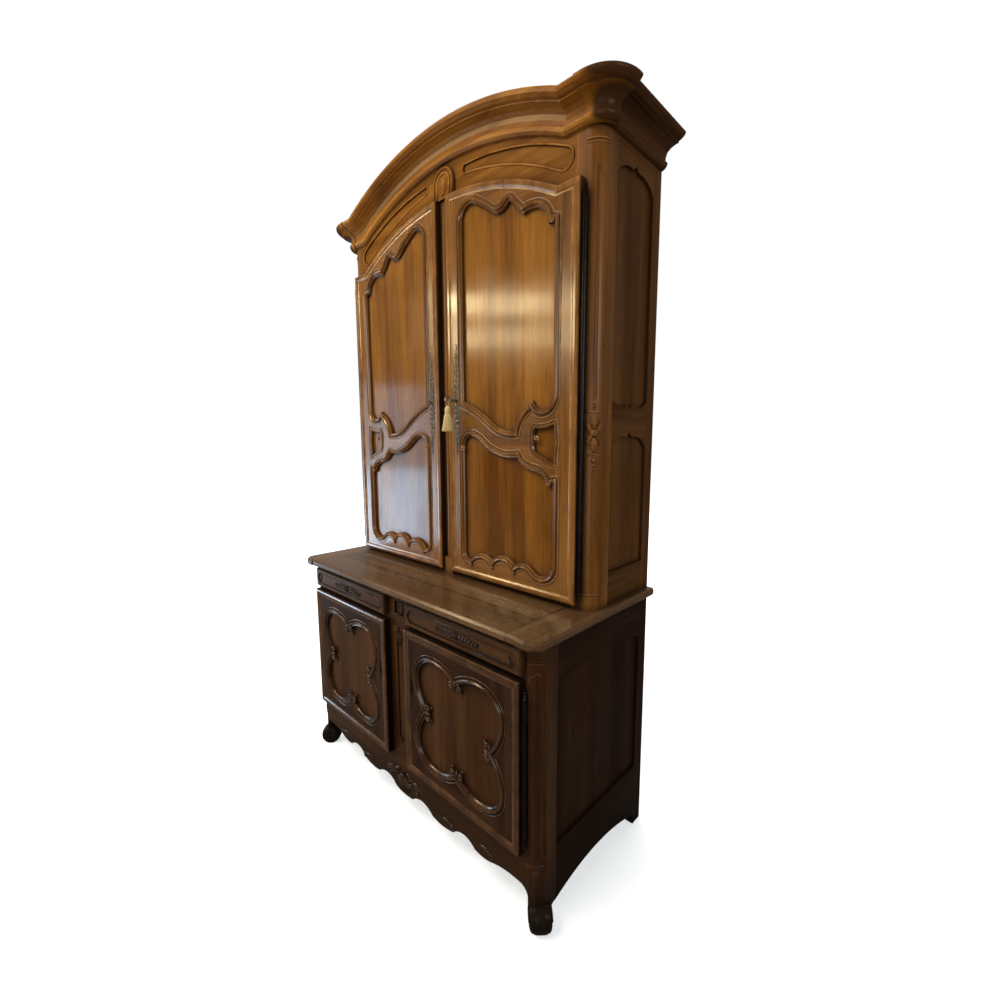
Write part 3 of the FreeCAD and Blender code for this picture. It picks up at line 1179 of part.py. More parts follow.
def cornice_return():
    """Cornice round the right corner post and along the side, with the block that fills the post's round."""
    r = CORNICE_CORNER_R
    profile = [(-out - RETURN_GAP, up) for up, out in CORNICE_PROFILE]
    path = ((CASE_HALF - r, UPPER_FACE_Y, -r * (1 - math.sqrt(0.5))), (CASE_HALF, UPPER_FACE_Y + r, 0),
            (CASE_HALF, BACK_Y, 0))
    lengths = moulding("plan", path, CORNICE_Z, profile, False)
    return joined(lengths[0], lengths[1:] + [corner_block()])


def corner_block():
    """Glue block between the rounded corner of the post and the smaller round of the cornice."""
    r = CORNICE_CORNER_R + RETURN_GAP
    front, side = UPPER_FACE_Y - RETURN_GAP, CASE_HALF + RETURN_GAP
    end = CASE_HALF - CORNICE_CORNER_R
    reach = CORNER_R * math.cos(math.radians(CORNER_BLOCK_ANGLE))
    short = CORNER_R * math.sin(math.radians(CORNER_BLOCK_ANGLE))
    x, y = ROUND_X, UPPER_FACE_Y + CORNER_R
    hollow = sagitta(CORNER_R, math.hypot(reach - short, reach - short))
    outline = ((x + short, y - reach, 0), (x + short, UPPER_FACE_Y, 0), (end, UPPER_FACE_Y, 0),
               (end, front, -r * (1 - math.sqrt(0.5))), (side, front + r, 0), (side, y - short, 0),
               (x + reach, y - short, hollow))
    return prism("plan", outline, CORNICE_Z, CORNICE_Z + CORNICE_H)


def shelf_levels():
    """Undersides of the shelves of the cupboard."""
    return [TOP_Z + rise for rise in SHELF_H]


def shelf_set():
    """Shelves of the cupboard."""
    return solids([case_board(z, SHELF_Y, UPPER_FACE_Y) for z in shelf_levels()])


def shelf_cleats():
    """Cleats under the ends of the shelves."""
    x1 = PANEL_X - FIT - SIDE_PANEL_T
    right = [box(x1 - CLEAT, x1, UPPER_FACE_Y + POST_D, BACK_POST_Y, z - CLEAT, z) for z in shelf_levels()]
    return solids(right + [mirrored(s) for s in right])


def lower_case():
    """Pieces of the buffet that stand still."""
    pair("lower_front_post", lower_front_post())
    save("lower_back_posts", back_posts(0, TOP_UNDER))
    save("lower_centre_stile", lower_centre_stile())
    save("drawer_muntin", drawer_muntin())
    save("lower_front_rails", solids([rail(DRAWER_TOP - LAP, TOP_UNDER, LOWER_FACE_Y),
                                      rail(LOWER_DOOR_TOP - APRON_TOP_LAP, DRAWER_Z + LAP, LOWER_FACE_Y)]))
    save("apron", apron())
    lower_sides()
    save("lower_back", back_boards(SIDE_APRON_Z, TOP_UNDER))
    save("lower_floor", case_board(LOWER_DOOR_Z - BOARD_T, LOWER_FACE_Y + RAIL_T, LOWER_FACE_Y))
    save("lower_shelf", case_board(LOWER_SHELF_Z, LOWER_FACE_Y + LOWER_SHELF_SETBACK, LOWER_FACE_Y))
    save("lower_bearers", lower_bearers())
    save("buffet_top", buffet_top())
    save("locating_dowels", dowels())
    post_half = hinge_post_half(*LOWER_HINGE, LOWER_FACE_Y)
    save("lower_hinge_posts", solids([post_half, mirrored(post_half)]))


def upper_case():
    """Pieces of the cupboard that stand still."""
    pair("upper_front_post", upper_front_post())
    save("upper_back_posts", back_posts(TOP_Z, POST_TOP))
    save("centre_post", centre_post())
    save("frieze", frieze())
    save("upper_bottom_rail", rail(TOP_Z, TOP_Z + UPPER_RAIL_H, UPPER_FACE_Y))
    upper_sides()
    save("upper_back", back_boards(TOP_Z, POST_TOP))
    save("upper_floor", case_board(TOP_Z + UPPER_RAIL_H - BOARD_T, UPPER_FACE_Y + RAIL_T, UPPER_FACE_Y))
    save("upper_roof", case_board(ROOF_Z, UPPER_FACE_Y + FRIEZE_T, UPPER_FACE_Y))
    save("upper_shelves", shelf_set())
    save("shelf_cleats", shelf_cleats())
    save("cornice_arch", cornice_arch())
    corner = cornice_return()
    save("cornice_returns", solids([corner, mirrored(corner)]))
    post_half = hinge_post_half(*UPPER_HINGE, UPPER_FACE_Y)
    save("upper_hinge_posts", solids([post_half, mirrored(post_half)]))


def moving_pieces():
    """Drawers, doors, locks and key."""
    pair("drawer_front", drawer_front())
    pair("drawer_box", drawer_box())
    pair("lower_door_frame", lower_door_frame())
    pair("lower_door_mouldings", lower_door_mouldings())
    pair("lower_door_panel", door_panel(quatrefoil(), LOWER_FACE_Y))
    pair("lower_door_hinge", hinge_door_half(*LOWER_HINGE, LOWER_FACE_Y))
    pair("upper_door_frame", upper_door_frame())
    pair("upper_door_mouldings", upper_door_mouldings())
    outlines = (upper_panel_outline(), lower_panel_outline(), cartouche_outline())
    pair("upper_door_panels", solids([door_panel(outline, UPPER_FACE_Y) for outline in outlines]))
    pair("upper_door_hinge", hinge_door_half(*UPPER_HINGE, UPPER_FACE_Y))
    lower_plate = scroll_plate(LOWER_LOCK, LOWER_PLATE_HALF_W, LOWER_PLATE_HALF_H, 2,
                               LOWER_FACE_Y - OVERLAY_T + LIP_H)
    pair("lower_lock", solids([lower_plate, lock_case(LOWER_LOCK, LOWER_STILE_HALF, LOWER_FACE_Y)]))
    upper_plate = scroll_plate(UPPER_LOCK, UPPER_PLATE_HALF_W, UPPER_PLATE_HALF_H, 6,
                               UPPER_FACE_Y - OVERLAY_T + LIP_H)
    pair("upper_lock", solids([upper_plate, lock_case(UPPER_LOCK, CENTRE_POST_HALF, UPPER_FACE_Y)]))
    pair("upper_bolt", bolt(UPPER_LOCK, CENTRE_POST_HALF, UPPER_FACE_Y))
    save("key", key())
    save("tassel", tassel())


os.makedirs("parts", exist_ok=True)
lower_case()
upper_case()
moving_pieces()
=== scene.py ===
"""Two-piece walnut armoire: finishes, carving, ironwork, tassel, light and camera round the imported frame."""
import random
from math import atan, atan2, cos, exp, hypot, pi, radians, sin, sqrt

import bmesh
import bpy
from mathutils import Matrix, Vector


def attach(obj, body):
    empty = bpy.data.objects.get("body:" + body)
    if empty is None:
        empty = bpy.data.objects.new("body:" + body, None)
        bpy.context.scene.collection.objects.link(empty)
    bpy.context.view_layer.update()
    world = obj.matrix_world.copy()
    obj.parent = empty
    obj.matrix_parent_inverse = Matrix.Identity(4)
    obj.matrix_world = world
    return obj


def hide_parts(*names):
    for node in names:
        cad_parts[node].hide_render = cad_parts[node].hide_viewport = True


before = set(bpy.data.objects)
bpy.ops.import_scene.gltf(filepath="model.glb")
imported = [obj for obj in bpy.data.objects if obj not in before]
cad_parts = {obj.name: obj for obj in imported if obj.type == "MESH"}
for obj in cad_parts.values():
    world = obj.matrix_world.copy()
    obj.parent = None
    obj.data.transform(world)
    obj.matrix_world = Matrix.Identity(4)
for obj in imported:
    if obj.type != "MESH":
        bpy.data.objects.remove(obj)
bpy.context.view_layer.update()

scene = bpy.context.scene
MM = 0.001
FULL, HALF, QUARTER = 2 * pi, pi, pi / 2  # turns

# Places taken from the frame, in millimetres
UPPER_FACE, LOWER_FACE = -20, -298  # fronts of the cupboard's and of the buffet's frame
UPPER_FLAT, LOWER_FLAT = -45.5, -323.5  # stiles and rails of the doors
UPPER_PANEL, LOWER_PANEL = -33.5, -311.5  # panels of the doors
ROUND_X, CORNER_R = 660, 50  # quarter round of a front post
ARCH_Z = 1345  # middle of the arches
KEY_X, KEY_Z = 80, 1715  # keyhole of an upper door
BOW_Y, BOW_R = -94.5, 13  # bow of the key

# Doors
QUATREFOIL_AT = (361, 553.5)  # middle of a lower door's moulding
QUATREFOIL_REACH = (155, 163)  # from there to where its lobes meet, level and upright
# Scrolls: across, up, size, first angle, way round
PANEL_SCROLLS = ((462, 1668, 13, -0.4, 1), (547, 1412, 11, 1.2, -1), (116, 1528, 12, 0.3, -1),
    (551, 2252, 10, 1.2, -1), (497, 1566, 11, 2.4, 1))
PANEL_BERRIES = ((157, 1058), (275, 1067), (387, 1067), (430, 2322), (292, 2368))
PANEL_HEAD = 2000  # the berries above it point down
BEAD_OFF, BEAD_R = 8, 2.6  # bead round a panel: distance from the panel, radius

# Drawers, apron and stile
DRAWER_FIELD = -318  # sunk field of a drawer front
DRAWER_AT = (365, 901.5)  # middle of a drawer front
FIELD_EDGES = (90, 640, 876, 927)  # inner, outer, low and high edge of that field
FIELD_BITE = 13  # hollow corners of that field
SHELL_Z = 184  # root of the apron's shell
APRON_SCROLLS = ((302, 131, 14), (506, 149, 12))  # across, up, size
STILE_BEAD = 2.2  # radius of the bead round the small field above the stile

# Frieze and keystone
KEYSTONE_ARCHES = ((54, 4.5), (36, 3.2))  # half width of an arch, radius of its bead
KEYSTONE_FOOT, KEYSTONE_SPRING = 2503, 2558
FRIEZE_IN = 112  # inner end of a sunk field, across
FRIEZE_OUT = (565, 590)  # outer end of its low and high edge
FRIEZE_LOW, FRIEZE_HIGH = (1215, 1195), (1246, 1264)  # inner and outer end, from the arches' middle

# Posts. Rings: height, reach to both sides, radius, sag. Berries: height, radius
UPPER_RINGS = ((2452, 38, 4, 0), (2442, 38, 2.2, 0), (1652, 24, 3.4, 5),
    (1508, 20, 3.2, -4), (1043, 38, 4, 0), (1033, 38, 2.2, 0))
LOWER_RINGS = ((898, 38, 3.4, 0), (906, 38, 2, 0), (228, 38, 4, 0), (219, 38, 2.2, 0))
POST_BERRIES = ((1492, 8), (1477, 6), (1466, 4), (1664, 6), (1676, 4))
DROP_Z = 1580  # middle of the leaves on an upper post
POST_FIELD = ((27, 262), (27, 846), (24.5, 856), (19, 860), (14, 859), (8, 864), (0, 873))
POST_BEAD = 2.4
FOOT_AT = (696, -266, 41)  # middle of a front foot
FOOT_R, FOOT_HALF = 47, 38  # its radius, and half its width along the roll

# Cornice above a front post
CORNICE_Z, CORNICE_H = 2487.2, 106  # underside and height
CORNICE_ROUND = (680, 25.2, 48.5)  # middle of the round, and its radius under the moulding
CORNICE_RUN = (16, 5)  # straight ends of the round, in front and on the side
CORNICE_CORE, CORNICE_LAP = 40, 0.4  # inside of the round; how far it laps past the cornice, up and down
CORNICE_PROFILE = ((0, 0), (1.2, 5), (3, 9), (6, 13.5), (10, 17), (13.5, 19), (17, 20), (22, 20), (26, 13),
    (40, 13), (47, 15.6), (54, 19.2), (59.5, 24.8), (64, 32.2), (67.6, 41.2), (70, 50.5),
    (71, 58), (76, 58), (77, 62), (79, 67), (82.5, 73), (87, 78), (91, 81), (95, 82), (99, 81),
    (102, 78), (104.5, 74.5), (106, 70))  # up, out

# Lock of an upper door
PLATE_TIERS = 8  # rows of scrolls, above and below the keyhole
PLATE_START, PLATE_RUN, PLATE_TIP = 22, 168, 196  # away from the keyhole
KEYHOLE_RINGS = ((9.5, 2), (13, 1.4))  # half width, radius
LOCK_CASE_X = (59, 109)  # from the edge inward
LOCK_CASE_Y = (-12.5, 3.5)
LOCK_CASE_H, LOCK_PLATE, LOCK_BEVEL = 84, 1.6, 0.35
BOLT_GAP = (1731, 1743)  # from under to over the bolt
RIVET_IN, RIVET_R, RIVET_FLAT = 9, 3.4, 0.45

# Tassel: out, down
TASSEL_CAP = ((3, 0), (7, 2), (9.6, 6), (10.8, 12), (10.8, 19), (9.8, 24.5))
TASSEL_SKIRT = ((9.6, 29), (12.6, 34), (15.6, 50), (18.6, 70), (21.4, 86))
SKIRT_LAYERS = ((1, 74), (0.80, 56), (0.54, 34), (0.26, 16))  # share of the full width, threads
SKIRT_R, SKIRT_LENGTH, SKIRT_RAGGED = 22.8, 98, 6


# Shader nodes

def feed(made, values):
    """Values and links put into the inputs of a node."""
    for name, value in values.items():
        if isinstance(value, bpy.types.NodeSocket):
            made.id_data.links.new(value, made.inputs[name])
        else:
            made.inputs[name].default_value = value
    return made


def node(tree, kind, inputs=None, **settings):
    """New node in a tree, with its settings and its inputs."""
    made = tree.nodes.new("ShaderNode" + kind)
    for name, value in settings.items():
        setattr(made, name, value)
    return feed(made, inputs or {})


def maths(operation, a, b=0, clamp=False):
    """Result of a sum on a socket and another value."""
    return node(a.id_data, "Math", {0: a, 1: b}, operation=operation, use_clamp=clamp).outputs[0]


def times(a, b, clamp=False):
    """Product of two values."""
    return maths("MULTIPLY", a, b, clamp)


def plus(a, b, clamp=False):
    """Two values added."""
    return maths("ADD", a, b, clamp)


def spread(value, low, high, to_low=0, to_high=1):
    """Value spread from one range to another."""
    given = {"Value": value, "From Min": low, "From Max": high, "To Min": to_low, "To Max": to_high}
    return node(value.id_data, "MapRange", given).outputs["Result"]


def opaque(color, share=1):
    """Colour, or a share of it, as the nodes want it."""
    return tuple(share * c for c in color) + (1,)


def blend(factor, a, b):
    """Two colours mixed."""
    return node(factor.id_data, "Mix", {0: factor, 6: a, 7: b}, data_type="RGBA").outputs[2]


def noise(place, scale, detail=3, rough=0.55):
    """Noise value at a place."""
    given = {"Vector": place, "Scale": scale, "Detail": detail, "Roughness": rough}
    return node(place.id_data, "TexNoise", given).outputs[0]


def scaled(place, shares):
    """Place stretched along its three directions."""
    return node(place.id_data, "VectorMath", {0: place, 1: shares}, operation="MULTIPLY").outputs[0]


def apart(place):
    """The three numbers of a place."""
    return node(place.id_data, "SeparateXYZ", {0: place}).outputs


def from_middle(place):
    """Distance from the middle of the front, to either side."""
    return maths("ABSOLUTE", apart(place)[0])


def places(tree, kind="Object"):
    """Places on the piece, or another of its coordinates."""
    return node(tree, "TexCoord").outputs[kind]


def openness(tree, distance, **settings):
    """One in the open and nought in narrow corners."""
    return node(tree, "AmbientOcclusion", {"Distance": distance}, samples=6, **settings).outputs["AO"]


def relief(height, strength, distance):
    """Normals of a fine relief."""
    given = {"Height": height, "Strength": strength, "Distance": distance}
    return node(height.id_data, "Bump", given).outputs[0]


def group(name, inputs, outputs):
    """Empty node group with named sockets."""
    tree = bpy.data.node_groups.new(name, "ShaderNodeTree")
    for way, sockets in (("INPUT", inputs), ("OUTPUT", outputs)):
        for label, kind in sockets.items():
            tree.interface.new_socket(name=label, in_out=way, socket_type="NodeSocket" + kind)
    return tree, tree.nodes.new("NodeGroupInput").outputs, tree.nodes.new("NodeGroupOutput")


def grain_group():
    """Growth rings, flame, fibres and pores of a board whose grain runs along its third direction."""
    tree, given, put = group("board grain", {"Place": "Vector", "Ring Scale": "Float"},
                             {"Tone": "Float", "Pores": "Float", "Height": "Float"})
    place = given["Place"]
    drift = node(tree, "TexNoise", {"Vector": place, "Scale": 2.4, "Detail": 2.0}).outputs["Color"]
    warp = {0: drift, 1: (0.16, 0.16, 0.05), 2: place}
    warped = node(tree, "VectorMath", warp, operation="MULTIPLY_ADD").outputs[0]
    bands = {"Vector": warped, "Scale": given["Ring Scale"], "Distortion": 7, "Detail": 3, "Detail Scale": 1.4}
    rings = node(tree, "TexWave", bands, wave_type="BANDS", bands_direction="DIAGONAL").outputs["Fac"]
    flame, fibre = noise(warped, 8, 4), noise(warped, 75, 3, 0.6)
    tone = plus(plus(times(rings, 0.13), times(flame, 0.47)), times(fibre, 0.40))
    pores = spread(noise(place, 260, 2, 0.6), 0.58, 0.72)
    height = maths("SUBTRACT", times(fibre, 0.5), times(pores, 0.5))
    feed(put, {"Tone": tone, "Pores": pores, "Height": height})
    return tree


def wax_and_painted_light_group():
    """Old wax and painted light: dark in the corners from dark wax and painted shade, lighter on the edges from wear
    and a painted highlight, darker near the floor and uneven all over.
    """
    takes = {"Color": "Color", "Wear And Highlight Color": "Color", "Place": "Vector", "Corners": "Float", "Edges": "Float"}
    tree, given, put = group("old wax and painted light", takes, {"Color": "Color", "Dull": "Float"})
    place = given["Place"]
    # Colour of the dark wax and painted shade in the corners, and the near-black used lower down
    dirt_and_shade, darker_low_black = (0.010, 0.006, 0.004, 1), (0.012, 0.008, 0.006, 1)
    # Dark wax in the hollows and painted shade: the colour darkens within a few centimetres of nearby surfaces, where
    # shade falls
    corner = times(spread(openness(tree, 0.035), 0.95, 0.35), given["Corners"], True)
    # Lighter on thin edges and ridges: wear, and a painted highlight along the mouldings
    ridge = spread(openness(tree, 0.007, inside=True, only_local=True), 0.62, 0.25)
    patchy = spread(noise(place, 14, 4), 0.38, 0.62)
    worn = times(times(ridge, patchy), given["Edges"], True)
    cloudy = noise(place, 3.1, 5, 0.6)
    # Darker towards the floor, below about a third of a metre
    darker_low = spread(plus(apart(place)[2], times(cloudy, 0.12)), 0.34, 0.12, 0, 0.92)
    color = blend(corner, blend(worn, given["Color"], given["Wear And Highlight Color"]), dirt_and_shade)
    color = blend(darker_low, color, darker_low_black)
    shade = spread(cloudy, 0.3, 0.7, 0.86, 1.12)
    color = node(tree, "VectorMath", {0: color, 3: shade}, operation="SCALE").outputs[0]
    dull = plus(times(corner, 0.25), spread(cloudy, 0.3, 0.7, -0.07, 0.10))
    feed(put, {"Color": color, "Dull": dull})
    return tree


GRAIN = grain_group()
WAX_AND_PAINTED_LIGHT = wax_and_painted_light_group()

STRETCH = {"upright": (1, 1, 0.055), "level": (0.055, 1, 1), "deep": (1, 0.055, 1)}
TURN = {"upright": (0, 0, 0), "level": (0, QUARTER, 0), "deep": (QUARTER, 0, 0)}
BOARD_STEPS = (-0.045, 0.065)  # change of tone from board to board


def along(place, way, offset):
    """Place squeezed along the grain, with the grain turned into the third direction."""
    given = {"Vector": scaled(place, STRETCH[way]), "Location": offset, "Rotation": TURN[way]}
    return node(place.id_data, "Mapping", given).outputs[0]


def rail_mask(place, low, high):
    """One on the rails, between two distances from the middle of the front, and nought on the stiles."""
    across = from_middle(place)
    return times(maths("GREATER_THAN", across, low), maths("LESS_THAN", across, high))


def new_material(name):
    """Empty material with its shader, and its tree."""
    made = bpy.data.materials.new(name)
    made.use_nodes = True
    tree = made.node_tree
    tree.nodes.clear()
    shader = node(tree, "BsdfPrincipled")
    node(tree, "OutputMaterial", {0: shader.outputs[0]})
    return made, tree, shader


def ramp(value, stops):
    """Colour ramp through (place, colour) stops."""
    made = node(value.id_data, "ValToRGB", {0: value})
    elements = made.color_ramp.elements
    while len(elements) < len(stops):
        elements.new(0.5)
    for element, (at, color) in zip(elements, stops):
        element.position = at
        element.color = opaque(color)
    return made.outputs[0]


def board_tone(place, tone, edges, lower_darkening):
    """Tone of a panel glued up from boards that meet at these distances from the middle, darker lower down between
    two heights.
    """
    across = from_middle(place)
    for edge, step in zip(edges, BOARD_STEPS):
        tone = plus(tone, times(maths("GREATER_THAN", across, edge), step))
    # Darker lower down, between two given heights
    if lower_darkening:
        tone = plus(tone, spread(apart(place)[2], *lower_darkening))
    return tone


def seam_mask(place, seams):
    """One on the thin joints between boards: (direction, distance, half width, how far it runs to both sides)."""
    across = from_middle(place)
    mask = 0
    for axis, at, half, stop in seams:
        away = maths("ABSOLUTE", maths("SUBTRACT", apart(place)[axis] if axis else across, at))
        line = times(spread(away, 1.4 * half, 0.6 * half), maths("LESS_THAN", across, stop))
        mask = maths("MAXIMUM", line, mask)
    return mask


def waxed(name, way, tones, seed, rough=0.30, coat=0.08, corners=0.9, edges=0.8, gloss=0.15, coat_rough=0.16,
          rings=5, rails=(), boards=(), lower_darkening=(), seams=(), side_shade=(), side_shade_tone=None):
    """Waxed wood: three tones from dark to light, with the grain running one way, or level on the rails only."""
    made, tree, shader = new_material(name)
    spot = places(tree)
    place = along(spot, way, (seed, 1.7 * seed, 0.3 * seed))
    if rails:
        level = along(spot, "level", (1.3 * seed, seed, 0.7 * seed))
        both = {0: rail_mask(spot, *rails), 4: place, 5: level}
        place = node(tree, "Mix", both, data_type="VECTOR").outputs[1]
    grain = node(tree, "Group", {"Place": place, "Ring Scale": rings}, node_tree=GRAIN).outputs
    dark, middle, light = tones
    tone = board_tone(spot, grain["Tone"], boards, lower_darkening)
    color = ramp(tone, [(0.30, dark), (0.50, middle), (0.70, light)])
    pore_color = opaque(dark, 0.45)
    color = blend(times(grain["Pores"], 0.45), color, pore_color)
    if seams:
        color = blend(times(seam_mask(spot, seams), 0.85), color, pore_color)
    # Painted shade: faces turned to either side are darkened towards the pore colour or a given shade tone
    if side_shade:
        turned = spread(from_middle(places(tree, "Normal")), *side_shade)
        color = blend(turned, color, opaque(side_shade_tone) if side_shade_tone else pore_color)
    # Lighter colour for the edges: wear, and a painted highlight along the ridges
    wear_and_highlight_color = opaque(min(1, 1.5 * c + 0.01) for c in light)
    worn = {"Color": color, "Wear And Highlight Color": wear_and_highlight_color, "Place": spot, "Corners": corners, "Edges": edges}
    wax_and_painted_light = node(tree, "Group", worn, node_tree=WAX_AND_PAINTED_LIGHT).outputs
    dull = plus(wax_and_painted_light["Dull"], spread(grain["Tone"], 0.2, 0.8, rough + 0.05, rough - 0.05), True)
    feed(shader, {"Base Color": wax_and_painted_light["Color"], "Roughness": dull, "Specular IOR Level": gloss,
                  "Coat Weight": coat, "Coat Roughness": coat_rough,
                  "Normal": relief(grain["Height"], 0.10, 0.0015)})
    return made


def steel(name, tint, rough, rust):
    """Hand-filed steel: bright on the faces, brown in the corners."""
    made, tree, shader = new_material(name)
    spot = places(tree)
    brown = (0.045, 0.026, 0.016, 1)
    mottled = noise(spot, 90, 5, 0.65)
    filed = noise(scaled(spot, (1, 1, 0.08)), 900, 2)
    stain = plus(spread(openness(tree, 0.012), 0.9, 0.35), spread(mottled, 0.52, 0.72), True)
    stain = times(stain, rust, True)
    bright = blend(mottled, opaque(tint, 0.75), opaque(tint))
    feed(shader, {"Base Color": blend(stain, bright, brown), "Roughness": spread(stain, 0, 1, rough, 0.62),
                  "Metallic": spread(stain, 0.2, 1, 1, 0.45),
                  "Normal": relief(plus(mottled, times(filed, 0.3)), 0.16, 0.0008)})
    return made


def thread():
    """Straw yellow silk with fine twisted strands, faded in places."""
    made, tree, shader = new_material("tassel silk")
    spot = places(tree)
    straw, pale = (0.74, 0.59, 0.23, 1), (0.66, 0.55, 0.28, 1)
    strands = noise(scaled(spot, (1, 1, 0.25)), 700)
    faded = spread(noise(spot, 40), 0.4, 0.7, 0, 0.4)
    feed(shader, {"Base Color": blend(faded, straw, pale), "Roughness": spread(strands, 0.3, 0.7, 0.62, 0.45),
                  "Normal": relief(strands, 0.35, 0.0006), "Sheen Weight": 0.35})
    return made


# Finishes; lengths in metres
HONEY = ((0.138, 0.047, 0.006), (0.275, 0.108, 0.014), (0.394, 0.172, 0.030))
AMBER = ((0.105, 0.036, 0.006), (0.220, 0.085, 0.013), (0.330, 0.142, 0.028))
DEEP = ((0.030, 0.010, 0.003), (0.066, 0.024, 0.007), (0.110, 0.046, 0.015))
SIDE = ((0.062, 0.024, 0.006), (0.125, 0.052, 0.014), (0.185, 0.084, 0.026))
# Painted shade: a darker copy of the cornice's walnut, for its returns and the sides of its rounds
SHADED_CORNICE = ((0.040, 0.015, 0.005), (0.082, 0.033, 0.010), (0.130, 0.056, 0.018))
FRAME = ((0.016, 0.006, 0.003), (0.036, 0.014, 0.007), (0.064, 0.028, 0.014))
DRAWER = ((0.035, 0.013, 0.005), (0.080, 0.033, 0.012), (0.130, 0.060, 0.022))
DARK = ((0.012, 0.004, 0.002), (0.026, 0.010, 0.005), (0.050, 0.020, 0.008))
# Walnut of the top, greyer with a painted reflection of a pale wall's sheen
TOP_WITH_SHEEN = ((0.052, 0.024, 0.010), (0.125, 0.063, 0.024), (0.195, 0.104, 0.046))
CREST = ((0.180, 0.060, 0.008), (0.360, 0.138, 0.017), (0.510, 0.220, 0.034))
INNER = ((0.14, 0.082, 0.040), (0.27, 0.172, 0.090), (0.37, 0.255, 0.145))
UPPER_RAILS, LOWER_RAILS, TOP_RAILS = (0.106, 0.574), (0.187, 0.535), (-0.1, 0.615)
TOP_SEAMS = ((1, -0.191, 0.0060, 0.615), (0, 0.615, 0.0024, 1.0))
BACK_SEAMS = tuple((0, at, 0.0024, 1.0) for at in (0.0935, 0.2805, 0.4675))
DOOR_SIDE_SHADE = (0.80, 0.95, 0.0, 0.95)  # painted shade on the sides of the door frames
CORNER_SIDE_SHADE = (0.02, 0.24, 0.0, 1.0)  # painted shade on the sides of the cornice's rounds
SIDE_PANEL = {"rough": 0.45, "coat": 0.0, "corners": 0.8, "edges": 0.3, "gloss": 0.08, "rings": 3.6}
SIDE_RAIL = {"rough": 0.45, "coat": 0.0, "edges": 0.7, "gloss": 0.08}
BARE = {"rough": 0.62, "coat": 0.0, "corners": 0.7, "edges": 0.2, "gloss": 0.25}

finishes = {
    "honey panel": waxed("honey walnut panels", "upright", HONEY, 1.1, 0.15, 0.18, corners=0.75, edges=0.3,
        gloss=0.25, coat_rough=0.1, rings=3.2, boards=(0.245, 0.43), lower_darkening=(1.78, 1.45, 0.0, -0.12)),
    "upper door": waxed("walnut of the upper doors", "upright", AMBER, 2.3, 0.19, 0.4, edges=0.9, gloss=0.6,
        rails=UPPER_RAILS, side_shade=DOOR_SIDE_SHADE),
    "upper moulding": waxed("walnut of the upper mouldings", "upright", AMBER, 2.9, 0.17, 0.45, corners=0.85,
        gloss=0.55),
    "upper post": waxed("walnut of the cupboard's posts", "upright", AMBER, 3.7, coat=0.1, edges=0.7, gloss=0.25),
    "arch": waxed("walnut of the frieze", "level", AMBER, 4.1, coat=0.0, gloss=0.05),
    "cornice": waxed("walnut of the arched cornice", "level", CREST, 4.4, 0.28, 0.1, gloss=0.2),
    # The rounds turn into painted shade on their sides
    "cornice corner": waxed("walnut of the cornice's corners", "level", CREST, 4.4, 0.34, 0.06, gloss=0.12,
        side_shade=CORNER_SIDE_SHADE, side_shade_tone=SHADED_CORNICE[1]),
    # Returns of the cornice in painted shade
    "cornice side": waxed("walnut of the cornice's returns, in painted shade", "deep", SHADED_CORNICE, 4.6, 0.4, 0.04, gloss=0.1),
    "lower panel": waxed("walnut of the lower panels", "upright", DEEP, 5.9, coat=0.06, corners=0.8, edges=0.3,
        rings=3.4, boards=(0.3, 0.42)),
    "lower door": waxed("walnut of the lower doors", "upright", FRAME, 6.3, 0.31, gloss=0.12, rails=LOWER_RAILS,
        side_shade=DOOR_SIDE_SHADE),
    "lower moulding": waxed("walnut of the lower mouldings", "upright", DEEP, 6.8, 0.2, 0.35, corners=0.85,
        edges=0.9, gloss=0.45),
    "lower post": waxed("walnut of the buffet's posts", "upright", DEEP, 7.7, 0.32, edges=0.7),
    "foot": waxed("blackened walnut of the feet", "upright", DARK, 17.9, coat=0.06, edges=0.2, gloss=0.12),
    "lower rail": waxed("walnut of the buffet's rails", "level", DEEP, 8.2, 0.31),
    "drawer": waxed("walnut of the drawers", "level", DRAWER, 8.9, 0.28, 0.1, gloss=0.2),
    "drawer carving": waxed("walnut of the drawers' carving", "level", FRAME, 8.9, 0.28, 0.12, edges=0.35,
        gloss=0.2),
    "top": waxed("walnut of the buffet top", "deep", TOP_WITH_SHEEN, 9.4, 0.28, 0.35, corners=0.6, gloss=0.25, rings=3.6,
        rails=TOP_RAILS, seams=TOP_SEAMS),
    "upper side": waxed("walnut of the cupboard's side panels", "upright", SIDE, 10.6, **SIDE_PANEL),
    "upper side rail": waxed("walnut of the cupboard's side rails", "deep", SIDE, 11.9, **SIDE_RAIL),
    "lower side": waxed("walnut of the buffet's side panels", "upright", DARK, 15.3, **SIDE_PANEL),
    "lower side rail": waxed("walnut of the buffet's side rails", "deep", DARK, 16.7, **SIDE_RAIL),
    "inner upright": waxed("bare boards, upright", "upright", INNER, 12.5, seams=BACK_SEAMS, **BARE),
    "inner level": waxed("bare boards, level", "level", INNER, 13.1, **BARE),
    "inner deep": waxed("bare boards, front to back", "deep", INNER, 14.2, **BARE),
    "dark steel": steel("dark hinge steel", (0.03, 0.029, 0.028), 0.28, 0.85),
    "lace steel": steel("pierced plate steel", (0.34, 0.31, 0.26), 0.22, 0.8),
    "bright steel": steel("bright lock steel", (0.5, 0.48, 0.45), 0.24, 0.75),
    "silk": thread(),
}

